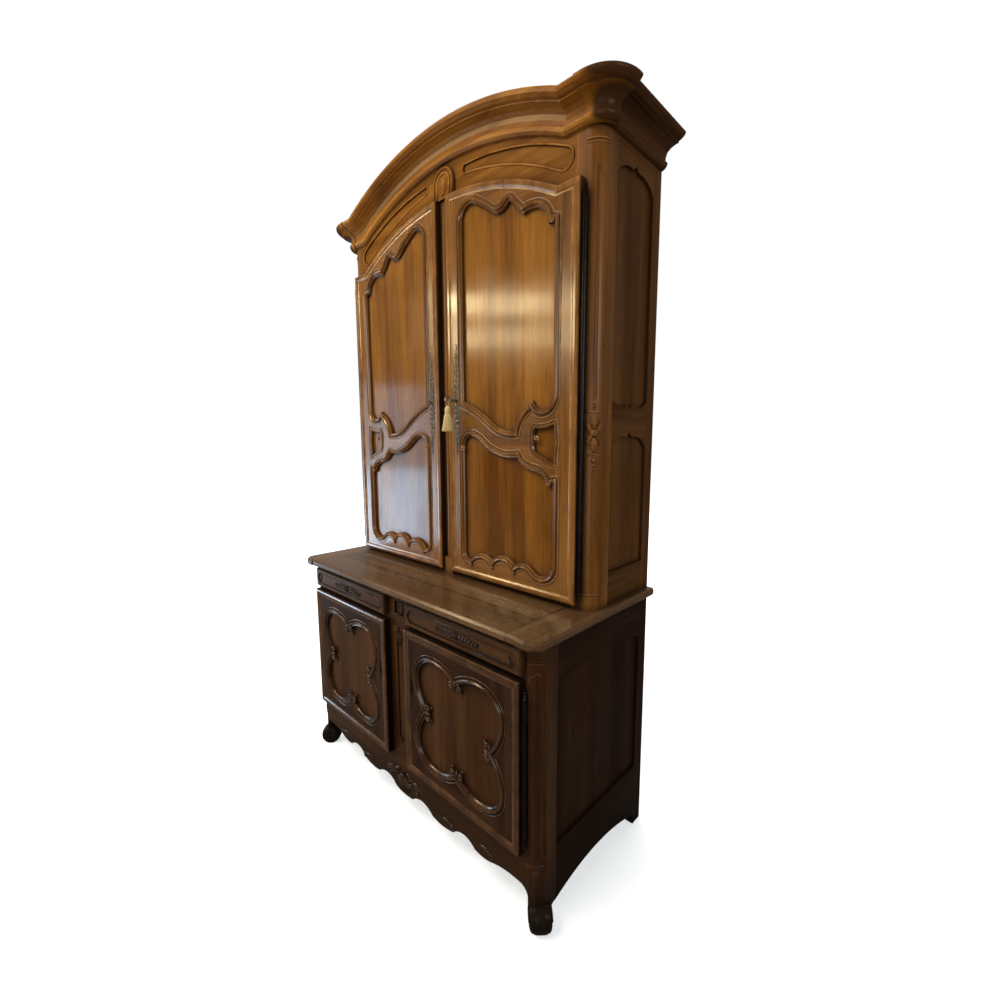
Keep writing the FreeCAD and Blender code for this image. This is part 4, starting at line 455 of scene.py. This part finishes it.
PIECES_IN = {
    "honey panel": "upper_door_panels", "upper door": "upper_door_frame", "upper moulding": "upper_door_mouldings",
    "upper post": "upper_front_post centre_post", "arch": "upper_bottom_rail frieze",
    "cornice": "cornice_arch", "cornice side": "cornice_returns",
    "lower panel": "lower_door_panel", "lower door": "lower_door_frame", "lower moulding": "lower_door_mouldings",
    "lower post": "lower_front_post lower_centre_stile drawer_muntin", "lower rail": "lower_front_rails apron",
    "drawer": "drawer_front", "top": "buffet_top",
    "lower side": "lower_side_panels lower_back_posts", "upper side": "upper_side_panels upper_back_posts",
    "lower side rail": "lower_side_rails", "upper side rail": "upper_side_rails",
    "inner upright": "lower_back upper_back locating_dowels",
    "inner level": "lower_floor lower_shelf upper_floor upper_roof upper_shelves",
    "inner deep": "lower_bearers shelf_cleats drawer_box",
    "dark steel": "lower_hinge_posts upper_hinge_posts lower_door_hinge upper_door_hinge lower_lock",
    "bright steel": "upper_lock upper_bolt key", "silk": "tassel",
}
FINISH_OF = {piece: finish for finish, pieces in PIECES_IN.items() for piece in pieces.split()}

for name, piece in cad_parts.items():
    stem = name.removesuffix("_left").removesuffix("_right")
    for place in piece.material_slots:
        place.material = finishes[FINISH_OF[stem]]


# Carving

def placed(name, data):
    """New object in the scene."""
    piece = bpy.data.objects.new(name, data)
    scene.collection.objects.link(piece)
    return piece


def set_in(name, data, finish, body):
    """New piece with its finish, riding on a body."""
    data.materials.append(finishes[finish])
    piece = placed(name, data)
    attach(piece, body)
    return piece


def settled(name, mesh):
    """Mesh of a piece, once it is built."""
    data = bpy.data.meshes.new(name)
    mesh.to_mesh(data)
    mesh.free()
    return data


def round_about(count):
    """Angles all the way round."""
    return [FULL * k / count for k in range(count)]


def on_front(face):
    """Places on a flat front: across, up and out of the face, in millimetres."""
    return lambda u, v, h: Vector((u * MM, (face - h) * MM, v * MM))


def on_corner(face, side):
    """Places round the quarter round of a front post."""
    def place(u, v, h):
        angle = -QUARTER / 2 + u / CORNER_R
        reach = CORNER_R + h
        x = ROUND_X + reach * cos(angle)
        y = face + CORNER_R + reach * sin(angle)
        return Vector((side * x * MM, y * MM, v * MM))
    return place


class Carving:
    """Relief built up from strands, beads and leaves on one surface."""

    def __init__(self, place):
        self.place = place
        self.mesh = bmesh.new()

    def grid(self, rows, closed=False):
        """Skin over rows of points, each row a ring; the last row joins the first one, or both get a cap."""
        rings = [[self.mesh.verts.new(self.place(*p)) for p in row] for row in rows]
        for a, b in zip(rings if closed else rings[:-1], rings[1:] + rings[:1]):
            count = len(a)
            for i in range(count):
                j = (i + 1) % count
                self.mesh.faces.new((a[i], a[j], b[j], b[i]))
        if not closed:
            self.mesh.faces.new(rings[0])
            self.mesh.faces.new(rings[-1])

    def strand(self, path, radii, lift=0, flat=0.8, sides=10):
        """Round strand along a path of (across, up), with one radius or one for each point."""
        rows = []
        closed = len(path) > 3 and path[0] == path[-1]
        if closed:
            path = path[:-1]
        for i, (u, v) in enumerate(path):
            a, b = path[max(i - 1, 0)], path[min(i + 1, len(path) - 1)]
            if closed:
                a, b = path[i - 1], path[(i + 1) % len(path)]
            du, dv = b[0] - a[0], b[1] - a[1]
            size = hypot(du, dv) or 1
            nu, nv = -dv / size, du / size
            r = radii[i] if isinstance(radii, list) else radii
            rows.append([(u + nu * r * cos(angle), v + nv * r * cos(angle), lift + flat * r * sin(angle))
                         for angle in round_about(sides)])
        self.grid(rows, closed)

    def bead(self, u, v, r, lift=0, flat=0.85):
        """Berry or boss, flattened towards the face."""
        sides, rows = 14, 9
        rings = []
        for i in range(1, rows):
            tilt = HALF * i / rows
            reach, h = r * sin(tilt), lift + flat * r * cos(tilt)
            rings.append([(u + reach * cos(angle), v + reach * sin(angle), h) for angle in round_about(sides)])
        self.grid(rings)

    def leaf(self, u, v, angle, length, width, rise, bend=0, lobes=3, lift=0):
        """Carved leaf with a sunk midrib and lobed edges, growing from its foot."""
        steps, across, under, thinnest, midrib = 14, 10, 1.2, 0.25, 0.22
        shares = [-1 + 2 * k / across for k in range(across + 1)]
        rows = []
        for i in range(steps + 1):
            t = i / steps
            turn = angle + bend * t
            cu = u + length * t * cos(angle + bend * t / 2)
            cv = v + length * t * sin(angle + bend * t / 2)
            outline = sin(HALF * (0.06 + 0.91 * t) ** 0.8) ** 0.85
            half = max(width / 2 * outline * (1 + 0.16 * cos(FULL * lobes * t)), thinnest)
            swell = 0.35 + 0.65 * sin(HALF * min(t + 0.12, 1))
            over = [(s, rise * (1 - 0.75 * s * s) * swell - 0.45 * rise * exp(-(s / midrib) ** 2)) for s in shares]
            below = [(s, -under) for s in reversed(shares)]
            rows.append([(cu - half * s * sin(turn), cv + half * s * cos(turn), lift + h)
                         for s, h in over + below])
        self.grid(rows)

    def done(self, name, finish, body):
        """The relief as a piece that rides on a body."""
        bmesh.ops.recalc_face_normals(self.mesh, faces=self.mesh.faces)
        data = settled(name, self.mesh)
        data.polygons.foreach_set("use_smooth", [True] * len(data.polygons))
        return set_in(name, data, finish, body)


def curl(cu, cv, r_out, r_in, turns, start, steps=36):
    """Spiral from its outer end to its eye; negative turns wind clockwise."""
    points = []
    for i in range(steps + 1):
        t = i / steps
        r = r_out * (r_in / r_out) ** t
        angle = start + FULL * turns * t
        points.append((cu + r * cos(angle), cv + r * sin(angle)))
    return points


def tapered(count, first, last, swell=0):
    """Radii along a strand."""
    shares = [i / (count - 1) for i in range(count)]
    return [first + (last - first) * share + swell * sin(HALF * share) for share in shares]


def volute(work, u, v, size, start, way, lift, thick=0.24):
    """One scroll that ends in a round eye."""
    path = curl(u, v, size, size * 0.30, way * 1.15, start)
    work.strand(path, tapered(len(path), size * thick, size * 0.16), lift)
    work.bead(u, v, size * 0.36, lift + size * 0.10)


def ring(work, level, reach, r, sag):
    """Turned ring across the face, from one side to the other."""
    shares = [k / 8 - 1 for k in range(17)]
    work.strand([(reach * share, level - sag * (1 - share ** 2)) for share in shares], r)


def quatrefoil_scrolls(side, label):
    """Pairs of scrolls with berries where the lobes of a lower door's moulding meet."""
    work = Carving(on_front(LOWER_PANEL))
    cx, cz = side * QUATREFOIL_AT[0], QUATREFOIL_AT[1]
    apart_by, berry_in, berry_aside, leaf_back = 19, 15, 6, 16
    for du, dv in ((1, 0), (-1, 0), (0, 1), (0, -1)):
        reach = QUATREFOIL_REACH[0] if du else QUATREFOIL_REACH[1]
        u, v = cx + du * reach, cz + dv * reach
        facing = atan2(-dv, -du)
        c, s = cos(facing), sin(facing)
        for way in (1, -1):
            cu, cv = u - way * apart_by * s, v + way * apart_by * c
            volute(work, cu, cv, 14, facing + HALF + way * 0.5, -way, lift=12, thick=0.32)
            bu, bv = cu + berry_in * c - way * berry_aside * s, cv + berry_in * s + way * berry_aside * c
            work.bead(bu, bv, 5.5, lift=4)
        work.leaf(u - leaf_back * c, v - leaf_back * s, facing, length=30, width=14, rise=9, lift=10)
    work.done("quatrefoil_scrolls_" + label, "lower moulding", "lower_door_" + label)


def panel_scrolls(side, label):
    """Small scrolls and berries at the points of an upper door's panel mouldings."""
    work = Carving(on_front(UPPER_PANEL))
    for x, z, size, start, way in PANEL_SCROLLS:
        begin = start if side > 0 else HALF - start
        volute(work, side * x, z, size, begin, way * side, lift=16, thick=0.34)
    for x, z in PANEL_BERRIES:
        aim = -QUARTER if z > PANEL_HEAD else QUARTER
        work.bead(side * x, z, 6.5, lift=17)
        work.leaf(side * x, z, aim, length=20, width=9, rise=5, lobes=1, lift=10)
    work.done("panel_scrolls_" + label, "upper moulding", "upper_door_" + label)


def drawer_spray(side, label):
    """Leafy spray on a drawer front, small scroll at the outer end of its field, and bead round the field."""
    work = Carving(on_front(DRAWER_FIELD))
    cx, cz = side * DRAWER_AT[0], DRAWER_AT[1]
    for way in (1, -1):
        for i in range(6):
            reach, drop, size = 14 + 16 * i, 3 * sin(i * 1.1), 31 - 2.6 * i
            aim = 0 if way > 0 else HALF
            for lean in (way, -way):
                work.leaf(cx + way * reach, cz + drop, aim + lean * 0.55, size, size * 0.45, 6.5, bend=-lean * 0.5)
            work.bead(cx + way * (reach + 10), cz + drop, 3.6, lift=3)
        stalk = [(cx + way * (4 + 11 * k), cz + 3 * sin(0.75 * k)) for k in range(11)]
        work.strand(stalk, tapered(len(stalk), 3.2, 1), lift=1.5)
    for k in range(8):
        work.leaf(cx, cz, FULL * k / 8 + 0.2, length=16, width=9.5, rise=7, lobes=1, lift=1)
    work.bead(cx, cz, 5.5, lift=5)
    volute(work, side * 616, 892, 10, QUARTER + side * 0.6, -side, lift=1, thick=0.3)
    work.leaf(side * 610, 903, QUARTER - side * 0.3, length=16, width=8, rise=4)
    inner, outer, low, high = FIELD_EDGES
    path = []
    for u, v, start in ((inner, low, 0.5), (outer, low, 1), (outer, high, -0.5), (inner, high, 0)):
        turn = [HALF * (start - 0.5 * k / 6) for k in range(7)]
        path += [(side * (u + FIELD_BITE * cos(a)), v + FIELD_BITE * sin(a)) for a in turn]
    work.strand(path + path[:1], 1.9, lift=3.6, flat=0.9, sides=8)
    work.done("drawer_spray_" + label, "drawer carving", "drawer_" + label)


def apron_carving():
    """Shell in the middle of the apron, with scrolls at the points of its scallops."""
    work = Carving(on_front(LOWER_FACE))
    for k in range(-4, 5):
        work.leaf(0, SHELL_Z, 3 * QUARTER + k * 0.25, 76 - 2.6 * abs(k), width=18, rise=10, lobes=1, lift=0.5)
    work.bead(0, SHELL_Z, 12, lift=5)
    for side in (1, -1):
        outward = QUARTER + side * QUARTER
        volute(work, side * 58, 170, 20, outward, -side, lift=2)
        volute(work, side * 92, 150, 12, outward, side, lift=2)
        path = [(side * (24 + 10 * k), 200 - 1.1 * k * k) for k in range(9)]
        work.strand(path, tapered(len(path), 6, 2, swell=2), lift=0.5)
        work.leaf(side * 72, SHELL_Z, QUARTER - side * (QUARTER + 0.2), length=58, width=24, rise=8, bend=-side * 0.5)
        for x, z, size in APRON_SCROLLS:
            volute(work, side * x, z, size, -QUARTER, side, lift=1, thick=0.3)
            work.leaf(side * (x - 8), z + 6, QUARTER + side * 1.2, length=44, width=13, rise=6, bend=side * 0.5)
    work.done("apron_carving", "lower moulding", "lower_case")


def stile_bracket():
    """Bracket at the head of the stile between the lower doors, and bead round the small field above it."""
    work = Carving(on_front(LOWER_FACE))
    for side in (1, -1):
        volute(work, side * 21, 806, 14, QUARTER + side * QUARTER, -side, lift=2)
        work.leaf(side * 6, 798, -QUARTER + side * 0.35, length=44, width=16, rise=8, bend=-side * 0.3)
        work.strand([(side * 27, 875), (side * 27, 928)], STILE_BEAD, lift=1)
    work.leaf(0, 806, -QUARTER, length=58, width=20, rise=9, lift=1)
    work.bead(0, 812, 8, lift=5)
    for z in (874.5, 928.5):
        work.strand([(-28, z), (28, z)], STILE_BEAD, lift=1)
    work.done("stile_bracket", "lower post", "lower_case")


def keystone_hood():
    """Two nested arches on the keystone, with a leaf between."""
    work = Carving(on_front(UPPER_FACE - 9))
    shoulder = KEYSTONE_SPRING - 20
    for reach, r in KEYSTONE_ARCHES:
        rise = 0.95 * reach
        path = [(reach, KEYSTONE_FOOT), (reach, shoulder)]
        path += [(reach * cos(HALF * k / 16), KEYSTONE_SPRING + rise * sin(HALF * k / 16)) for k in range(17)]
        path += [(-reach, shoulder), (-reach, KEYSTONE_FOOT)]
        work.strand(path, r, lift=0.5)
    work.leaf(0, 2512, QUARTER, length=66, width=30, rise=7)
    work.done("keystone_hood", "arch", "upper_case")


def bowed(a, b, rise, count=20):
    """Points along an arc that stands off its chord by this rise, to the left of the way."""
    du, dv = b[0] - a[0], b[1] - a[1]
    length = hypot(du, dv)
    half = 2 * atan(2 * rise / length)
    r = length / (2 * sin(half))
    points = []
    for k in range(count):
        turn = half * (2 * k / count - 1)
        on = r * (sin(turn) + sin(half)) / length
        off = r * (cos(turn) - cos(half)) / length
        points.append((a[0] + du * on - dv * off, a[1] + dv * on + du * off))
    return points


def frieze_bead(side, label):
    """Bead round a sunk field of the frieze."""
    work = Carving(on_front(UPPER_FACE))

    def over(r, x):
        return (x, ARCH_Z + sqrt(r * r - x * x))

    low_in, low_out = over(FRIEZE_LOW[0], FRIEZE_IN), over(FRIEZE_LOW[1], FRIEZE_OUT[0])
    high_in, high_out = over(FRIEZE_HIGH[0], FRIEZE_IN), over(FRIEZE_HIGH[1], FRIEZE_OUT[1])
    path = bowed(low_in, low_out, 25) + bowed(low_out, high_out, -34) + bowed(high_out, high_in, -27)
    path += bowed(high_in, low_in, -6) + [low_in]
    work.strand([(side * u, v) for u, v in path], 3.2, lift=0.3)
    work.done("frieze_bead_" + label, "arch", "upper_case")


def cornice_corner(side, label):
    """Cornice broken out in a round above the post, a step beside its run along the side."""
    cx, cy, round_r = CORNICE_ROUND

    def place(way, level, reach):
        angle = min(max(way, 0), QUARTER) - QUARTER
        before, after = min(way, 0), max(way - QUARTER, 0)
        x = cx + reach * cos(angle) + before
        y = cy + reach * sin(angle) + after
        return Vector((side * x * MM, y * MM, level * MM))

    work = Carving(place)
    lap = CORNICE_LAP
    profile = [(round_r + out, up - lap + 2 * lap * up / CORNICE_H) for up, out in CORNICE_PROFILE]
    profile = [(CORNICE_CORE, -lap)] + profile + [(CORNICE_CORE, CORNICE_H + lap)]
    front_run, side_run = CORNICE_RUN
    ways = [-front_run] + [QUARTER * k / 24 for k in range(25)] + [QUARTER + side_run]
    work.grid([[(way, CORNICE_Z + up, reach) for reach, up in profile] for way in ways])
    piece = work.done("cornice_corner_" + label, "cornice corner", "upper_case")
    piece.data.set_sharp_from_angle(angle=radians(32))


def panel_outlines(name, front):
    """Outlines of the panels of a door, as the frame has them, in millimetres."""
    mesh = bmesh.new()
    mesh.from_mesh(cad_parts[name].data)
    bmesh.ops.remove_doubles(mesh, verts=mesh.verts, dist=0.01 * MM)
    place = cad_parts[name].matrix_world
    nexts = {}
    for edge in mesh.edges:
        ends = [place @ vert.co for vert in edge.verts]
        level = all(abs(end.y - front * MM) < 0.1 * MM for end in ends)
        if level and sum(abs(face.normal.y) > 0.99 for face in edge.link_faces) == 1:
            for one, other in (edge.verts, reversed(edge.verts)):
                nexts.setdefault(one.index, []).append(other.index)
    spots = [place @ vert.co for vert in mesh.verts]
    mesh.free()
    outlines = []
    while nexts:
        first = at = next(iter(nexts))
        came, loop = None, []
        while at in nexts:
            loop.append((spots[at].x / MM, spots[at].z / MM))
            ahead = [other for other in nexts.pop(at) if other != came and (other in nexts or other == first)]
            came, at = at, ahead[0] if ahead else first
        outlines.append(loop)
    return outlines


def set_off(loop, distance):
    """A closed outline moved outward, without the stretches that would cross."""
    stretch, clear = 12, 0.93 * distance
    sides = list(zip(loop, loop[1:] + loop[:1]))
    way = 1 if sum(a[0] * b[1] - b[0] * a[1] for a, b in sides) > 0 else -1
    fine = []
    for a, b in sides:
        steps = max(1, int(hypot(b[0] - a[0], b[1] - a[1]) / stretch))
        fine += [(a[0] + (b[0] - a[0]) * k / steps, a[1] + (b[1] - a[1]) * k / steps) for k in range(steps)]
    moved = []
    for i, (u, v) in enumerate(fine):
        a, b = fine[i - 1], fine[(i + 1) % len(fine)]
        du, dv = b[0] - a[0], b[1] - a[1]
        size = hypot(du, dv) or 1
        moved.append((u + way * distance * dv / size, v - way * distance * du / size))
    kept = [p for p in moved if min(hypot(p[0] - q[0], p[1] - q[1]) for q in fine) > clear]
    return kept + kept[:1]


def panel_beads(door, panels, flat, front, finish, label):
    """Thin bead on a door's frame that follows each panel moulding."""
    work = Carving(on_front(flat))
    for loop in panel_outlines(panels + "_" + label, front):
        work.strand(set_off(loop, BEAD_OFF), BEAD_R, lift=0.2, flat=0.9, sides=8)
    work.done(door + "_beads_" + label, finish, door + "_" + label)


def upper_post_carving(side, label):
    """Rings and hanging drop on the rounded corner of an upper post."""
    work = Carving(on_corner(UPPER_FACE, side))
    for row in UPPER_RINGS:
        ring(work, *row)
    work.leaf(0, DROP_Z + 14, QUARTER, length=56, width=26, rise=8)
    work.leaf(0, DROP_Z - 14, -QUARTER, length=54, width=26, rise=8)
    for way in (1, -1):
        work.leaf(way * 6, DROP_Z, QUARTER - way * 0.7, length=42, width=17, rise=7, bend=way * 0.7)
        work.leaf(way * 6, DROP_Z - 2, -QUARTER + way * 0.7, length=42, width=17, rise=7, bend=-way * 0.7)
    work.bead(0, DROP_Z, 13, lift=3, flat=0.6)
    for z, r in POST_BERRIES:
        work.bead(0, z, r)
    work.done("upper_post_carving_" + label, "upper post", "upper_case")


def lower_post_carving(side, label):
    """Rings, bracket-headed field and tongue on the rounded corner of a lower post."""
    work = Carving(on_corner(LOWER_FACE, side))
    for row in LOWER_RINGS:
        ring(work, *row)
    for way in (1, -1):
        work.strand([(way * u, v) for u, v in POST_FIELD], POST_BEAD, lift=0.2)
    half, low = POST_FIELD[0]
    work.strand([(-half, low), (half, low)], POST_BEAD, lift=0.2)
    work.leaf(0, 214, -QUARTER, length=62, width=30, rise=6, lobes=1)
    work.done("lower_post_carving_" + label, "lower post", "lower_case")


def scroll_foot(side, label):
    """Rounded, worn scroll of a front foot, rolled outward on the corner's slant."""
    cx, cy, cz = FOOT_AT
    slant, off_floor = sqrt(0.5), 0.4

    def place(along_axis, angle, reach):
        out = reach * cos(angle)
        x = cx + slant * (along_axis + out)
        y = cy + slant * (along_axis - out)
        return Vector((side * x * MM, y * MM, max(cz + reach * sin(angle), off_floor) * MM))

    work = Carving(place)
    rows = []
    for k in range(1, 28):
        share = cos(HALF * k / 28)
        swell = (1 - abs(share) ** 4) ** 0.25
        groove = 1.6 * exp(-((abs(share) - 0.62) / 0.10) ** 2)
        rows.append([(FOOT_HALF * share, angle, FOOT_R * swell - groove) for angle in round_about(36)])
    work.grid(rows)
    for end in (1, -1):
        path = [(end * 36.5, 0.35 + FULL * 1.6 * i / 40, 33 * (0.24 ** (i / 40))) for i in range(41)]
        work.grid([[(along_axis + 2.2 * cos(a), angle, reach + 3 * sin(a)) for a in round_about(8)]
                   for along_axis, angle, reach in path])
    work.done("scroll_foot_" + label, "foot", "lower_case")


def escutcheon(side, label):
    """Tall pierced lock plate of scrolls and leaves round an open keyhole."""
    work = Carving(on_front(UPPER_FLAT))
    cx, cz = side * KEY_X, KEY_Z
    thin = {"flat": 0.7, "sides": 8}
    for way in (1, -1):
        stalk = [(cx + 1.6 * sin(0.55 * k), cz + way * (11 + 9.6 * k)) for k in range(20)]
        work.strand(stalk, tapered(len(stalk), 2.2, 1), lift=1, **thin)
        for tier in range(PLATE_TIERS):
            share = tier / PLATE_TIERS
            z = cz + way * (PLATE_START + PLATE_RUN * share)
            size = 14.5 - 8 * share
            for flank in (1, -1):
                begin = (0 if flank < 0 else HALF) - flank * way * 0.9
                path = curl(cx + flank * size * 0.80, z, size * 0.66, size * 0.22, flank * way * 1.1, begin, 18)
                work.strand(path, tapered(len(path), size * 0.24, size * 0.14), lift=1.1, **thin)
                work.leaf(cx, z + way * size * 0.9, way * (QUARTER - flank * way * 0.75), size * 1.5, size * 0.62,
                          rise=1.8, bend=flank * 0.4, lobes=2, lift=0.4)
            work.bead(cx, z + way * size * 0.2, 1.5 + size * 0.12, lift=1.6)
        work.leaf(cx, cz + way * PLATE_TIP, way * QUARTER, length=24, width=8, rise=2, lift=0.5)
    for r, thick in KEYHOLE_RINGS:
        path = [(cx + r * cos(HALF * k / 12), cz + 1.25 * r * sin(HALF * k / 12)) for k in range(25)]
        work.strand(path, thick, lift=1, **thin)
    plate = work.done("pierced_plate_" + label, "lace steel", "upper_door_" + label)
    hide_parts("upper_lock_" + label)


def lock_case(side, label):
    """Lock case on the back of an upper door, made of plates, with a gap for the bolt."""
    near, far = LOCK_CASE_X
    front, back = LOCK_CASE_Y
    low, high = KEY_Z - LOCK_CASE_H / 2, KEY_Z + LOCK_CASE_H / 2
    gap_low, gap_high = BOLT_GAP
    t = LOCK_PLATE
    depth = (front, back - t)
    plates = (((near, far), (back - t, back), (low, high)), ((near, far), depth, (low, low + t)),
              ((near, far), depth, (high - t, high)), ((far - t, far), depth, (low + t, high - t)),
              ((near, near + t), depth, (low + t, gap_low)), ((near, near + t), depth, (gap_high, high - t)))
    mesh = bmesh.new()
    for spans in plates:
        for vert in bmesh.ops.create_cube(mesh, size=1.0)["verts"]:
            x, y, z = [(a + b) / 2 + (b - a) * share for (a, b), share in zip(spans, vert.co)]
            vert.co = Vector((side * x * MM, y * MM, z * MM))
    bmesh.ops.bevel(mesh, geom=mesh.edges[:], offset=LOCK_BEVEL * MM, segments=2, affect="EDGES")
    for x in (near + RIVET_IN, far - RIVET_IN):
        for z in (low + RIVET_IN, high - RIVET_IN):
            spot = Vector((side * x * MM, back * MM, z * MM))
            for vert in bmesh.ops.create_icosphere(mesh, subdivisions=2, radius=RIVET_R * MM)["verts"]:
                vert.co = spot + Vector((vert.co.x, RIVET_FLAT * vert.co.y, vert.co.z))
    bmesh.ops.recalc_face_normals(mesh, faces=mesh.faces)
    name = "lock_case_" + label
    set_in(name, settled(name, mesh), "dark steel", "upper_door_" + label)


def tassel_piece():
    """Tassel on the key: twisted loop, bound head with a netted cap, and a skirt of threads."""
    shape = bpy.data.curves.new("tassel", "CURVE")
    shape.dimensions = "3D"
    shape.bevel_depth = 1 * MM
    shape.bevel_resolution = 1
    shape.resolution_u = 4
    shape.use_fill_caps = True
    rng = random.Random(5)
    x, y, tie = KEY_X, BOW_Y, KEY_Z - BOW_R
    head = tie - 12

    def about(r, angle, level):
        return (x + r * cos(angle), y + r * sin(angle), level)

    def spline(points, radius, closed=False):
        made = shape.splines.new("NURBS")
        made.points.add(len(points) - 1)
        for point, (a, b, c) in zip(made.points, points):
            point.co = (a * MM, b * MM, c * MM, 1)
            point.radius = radius
        made.use_cyclic_u = closed
        made.use_endpoint_u = not closed
        made.order_u = 3

    loop_r, twist_r, twists = 8, 0.8, 9
    for phase in (0, HALF):
        points = []
        for angle in round_about(48):
            twist = twists * angle + phase
            r = loop_r + twist_r * cos(twist)
            points.append((x + r * sin(angle), y + twist_r * sin(twist), tie - 3 + r * cos(angle)))
        spline(points, 0.9, closed=True)
    for angle in round_about(44):
        spline([about(r, angle + 0.03 * d, head - d) for r, d in TASSEL_CAP], 1.05)
    for turn in range(7):
        level = head - 24 - 1.25 * turn
        r = 10.2 + 0.5 * sin(turn)
        spline([about(r, a * HALF / 8, level - 0.08 * a) for a in range(17)], 0.75)
    for share, count in SKIRT_LAYERS:
        for k in range(count):
            angle = FULL * (k + rng.random() * 0.6) / count
            length = SKIRT_LENGTH - rng.random() * SKIRT_RAGGED
            wave = rng.uniform(-0.10, 0.10)
            profile = TASSEL_SKIRT + ((SKIRT_R, length),)
            points = [about(share * r, angle + wave * d / 100, head - d) for r, d in profile]
            spline(points, rng.uniform(0.85, 1.1))
    piece = set_in("tassel_threads", shape, "silk", "tassel")
    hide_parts("tassel")


for side, label in ((1, "right"), (-1, "left")):
    quatrefoil_scrolls(side, label)
    panel_scrolls(side, label)
    panel_beads("upper_door", "upper_door_panels", UPPER_FLAT, UPPER_PANEL, "upper moulding", label)
    panel_beads("lower_door", "lower_door_panel", LOWER_FLAT, LOWER_PANEL, "lower moulding", label)
    for build in (drawer_spray, frieze_bead, cornice_corner, upper_post_carving, lower_post_carving, scroll_foot,
                  escutcheon, lock_case):
        build(side, label)
apron_carving()
stile_bracket()
keystone_hood()
tassel_piece()


# Floor, light and camera, in metres

WHITE, DAY_GOLD, DAY_BLUE, PANE_BLUE = (1.0, 1.0, 1.0), (1.0, 0.80, 0.46), (0.60, 0.80, 1.0), (0.72, 0.86, 1.0)
OVERHEAD, OVERHEAD_AIM = (-0.6, -2.6, 4.6), (0.0, 0.0, 1.2)
# Name, place, aim, width, height, power, tint, and False where the wax mirrors none of it
LAMPS = (
    ("window above", (-2.3, -2.9, 3.08), (0.3, 0, 1.9), 1.5, 0.2, 21, DAY_GOLD),
    ("window below", (-2.3, -2.9, 2.7), (0.3, 0, 1.8), 1.5, 0.2, 15, DAY_GOLD),
    ("low window", (-3.4, -2.1, 0.7), (-0.3, 0, 1.2), 0.8, 1, 26, DAY_BLUE),
    ("low window's upper pane", (-3.4, -2.1, 1.72), (-0.35, 0, 1.7), 0.85, 0.95, 6.2, PANE_BLUE),
    ("backdrop", (-3.5, 5, 6.5), (-3, 4, 0), 9, 7, 500, WHITE),
    ("ceiling", OVERHEAD, OVERHEAD_AIM, 3, 2, 112, (1, 0.95, 0.86), False),
    ("skylight", OVERHEAD, OVERHEAD_AIM, 1, 0.7, 18, (1, 0.96, 0.9)),
    ("fill", (2.4, -3.4, 1.6), (0, 0, 1), 2, 2, 18, (1, 0.97, 0.93)),
    ("side light", (4.2, -0.7, 2.5), (0.7, 0.2, 1.9), 1.6, 1.6, 34, (1, 0.95, 0.88)))
FLOOR_HALF = 30.0
SENSOR, LENS = 36.0, 17.151  # millimetres
CAMERA_AT = (1.5334675, -1.3220597, 1.5687213)
CAMERA_TURN = (82.74699, 0.30700, 43.96669)


def camera_sees(tree):
    """One for what the camera sees itself."""
    return node(tree, "LightPath").outputs["Is Camera Ray"]


def floor():
    """Plain pale floor, which throws little light back on the piece."""
    mesh = bmesh.new()
    bmesh.ops.create_grid(mesh, x_segments=2, y_segments=2, size=FLOOR_HALF)
    data = settled("floor", mesh)
    made, tree, shader = new_material("pale floor")
    spot = places(tree)
    color = blend(noise(spot, 3.0, 4.0), opaque(WHITE, 0.86), opaque(WHITE, 0.90))
    away = node(tree, "VectorMath", {0: spot}, operation="LENGTH").outputs["Value"]
    feed(shader, {"Base Color": color, "Roughness": 0.8, "Emission Color": (0.95, 0.98, 1.0, 1.0),
                  "Emission Strength": spread(away, 0.6, 4.0, 0.60, 0.95)})
    dim = node(tree, "BsdfDiffuse", {"Color": (0.22, 0.19, 0.16, 1.0)}).outputs[0]
    both = node(tree, "MixShader", {0: camera_sees(tree), 1: dim, 2: shader.outputs[0]}).outputs[0]
    feed(next(n for n in tree.nodes if n.type == "OUTPUT_MATERIAL"), {0: both})
    data.materials.append(made)
    placed("floor", data)


def lamp(name, place, aim, width, height, power, tint, mirrored=True):
    """Soft light aimed at a point; one that is not mirrored leaves no sheen on the wax."""
    data = bpy.data.lights.new(name, "AREA")
    data.shape = "RECTANGLE"
    data.size = width
    data.size_y = height
    data.energy = power
    data.color = tint
    piece = placed(name, data)
    piece.visible_glossy = mirrored
    piece.location = place
    piece.rotation_euler = (Vector(aim) - Vector(place)).to_track_quat("-Z", "Y").to_euler()


def room():
    """White background, which lights the piece only dimly."""
    made = bpy.data.worlds.new("room")
    made.use_nodes = True
    tree = made.node_tree
    brighter = (-0.70, 0.71, 0.0)  # way to the brighter end of the room
    ways = {0: places(tree, "Generated"), 1: brighter}
    glow = spread(node(tree, "VectorMath", ways, operation="DOT_PRODUCT").outputs["Value"], -0.2, 0.8, 0.10, 0.22)
    light = maths("MAXIMUM", glow, camera_sees(tree))
    feed(tree.nodes["Background"], {"Strength": light, "Color": opaque(WHITE)})
    scene.world = made


floor()
room()
for row in LAMPS:
    lamp(*row)
scene.view_settings.view_transform = "Standard"

camera = bpy.data.cameras.new("camera")
camera.sensor_fit = "HORIZONTAL"
camera.sensor_width = SENSOR
camera.lens = LENS
view = placed("camera", camera)
view.location = CAMERA_AT
view.rotation_euler = [radians(a) for a in CAMERA_TURN]
scene.camera = view
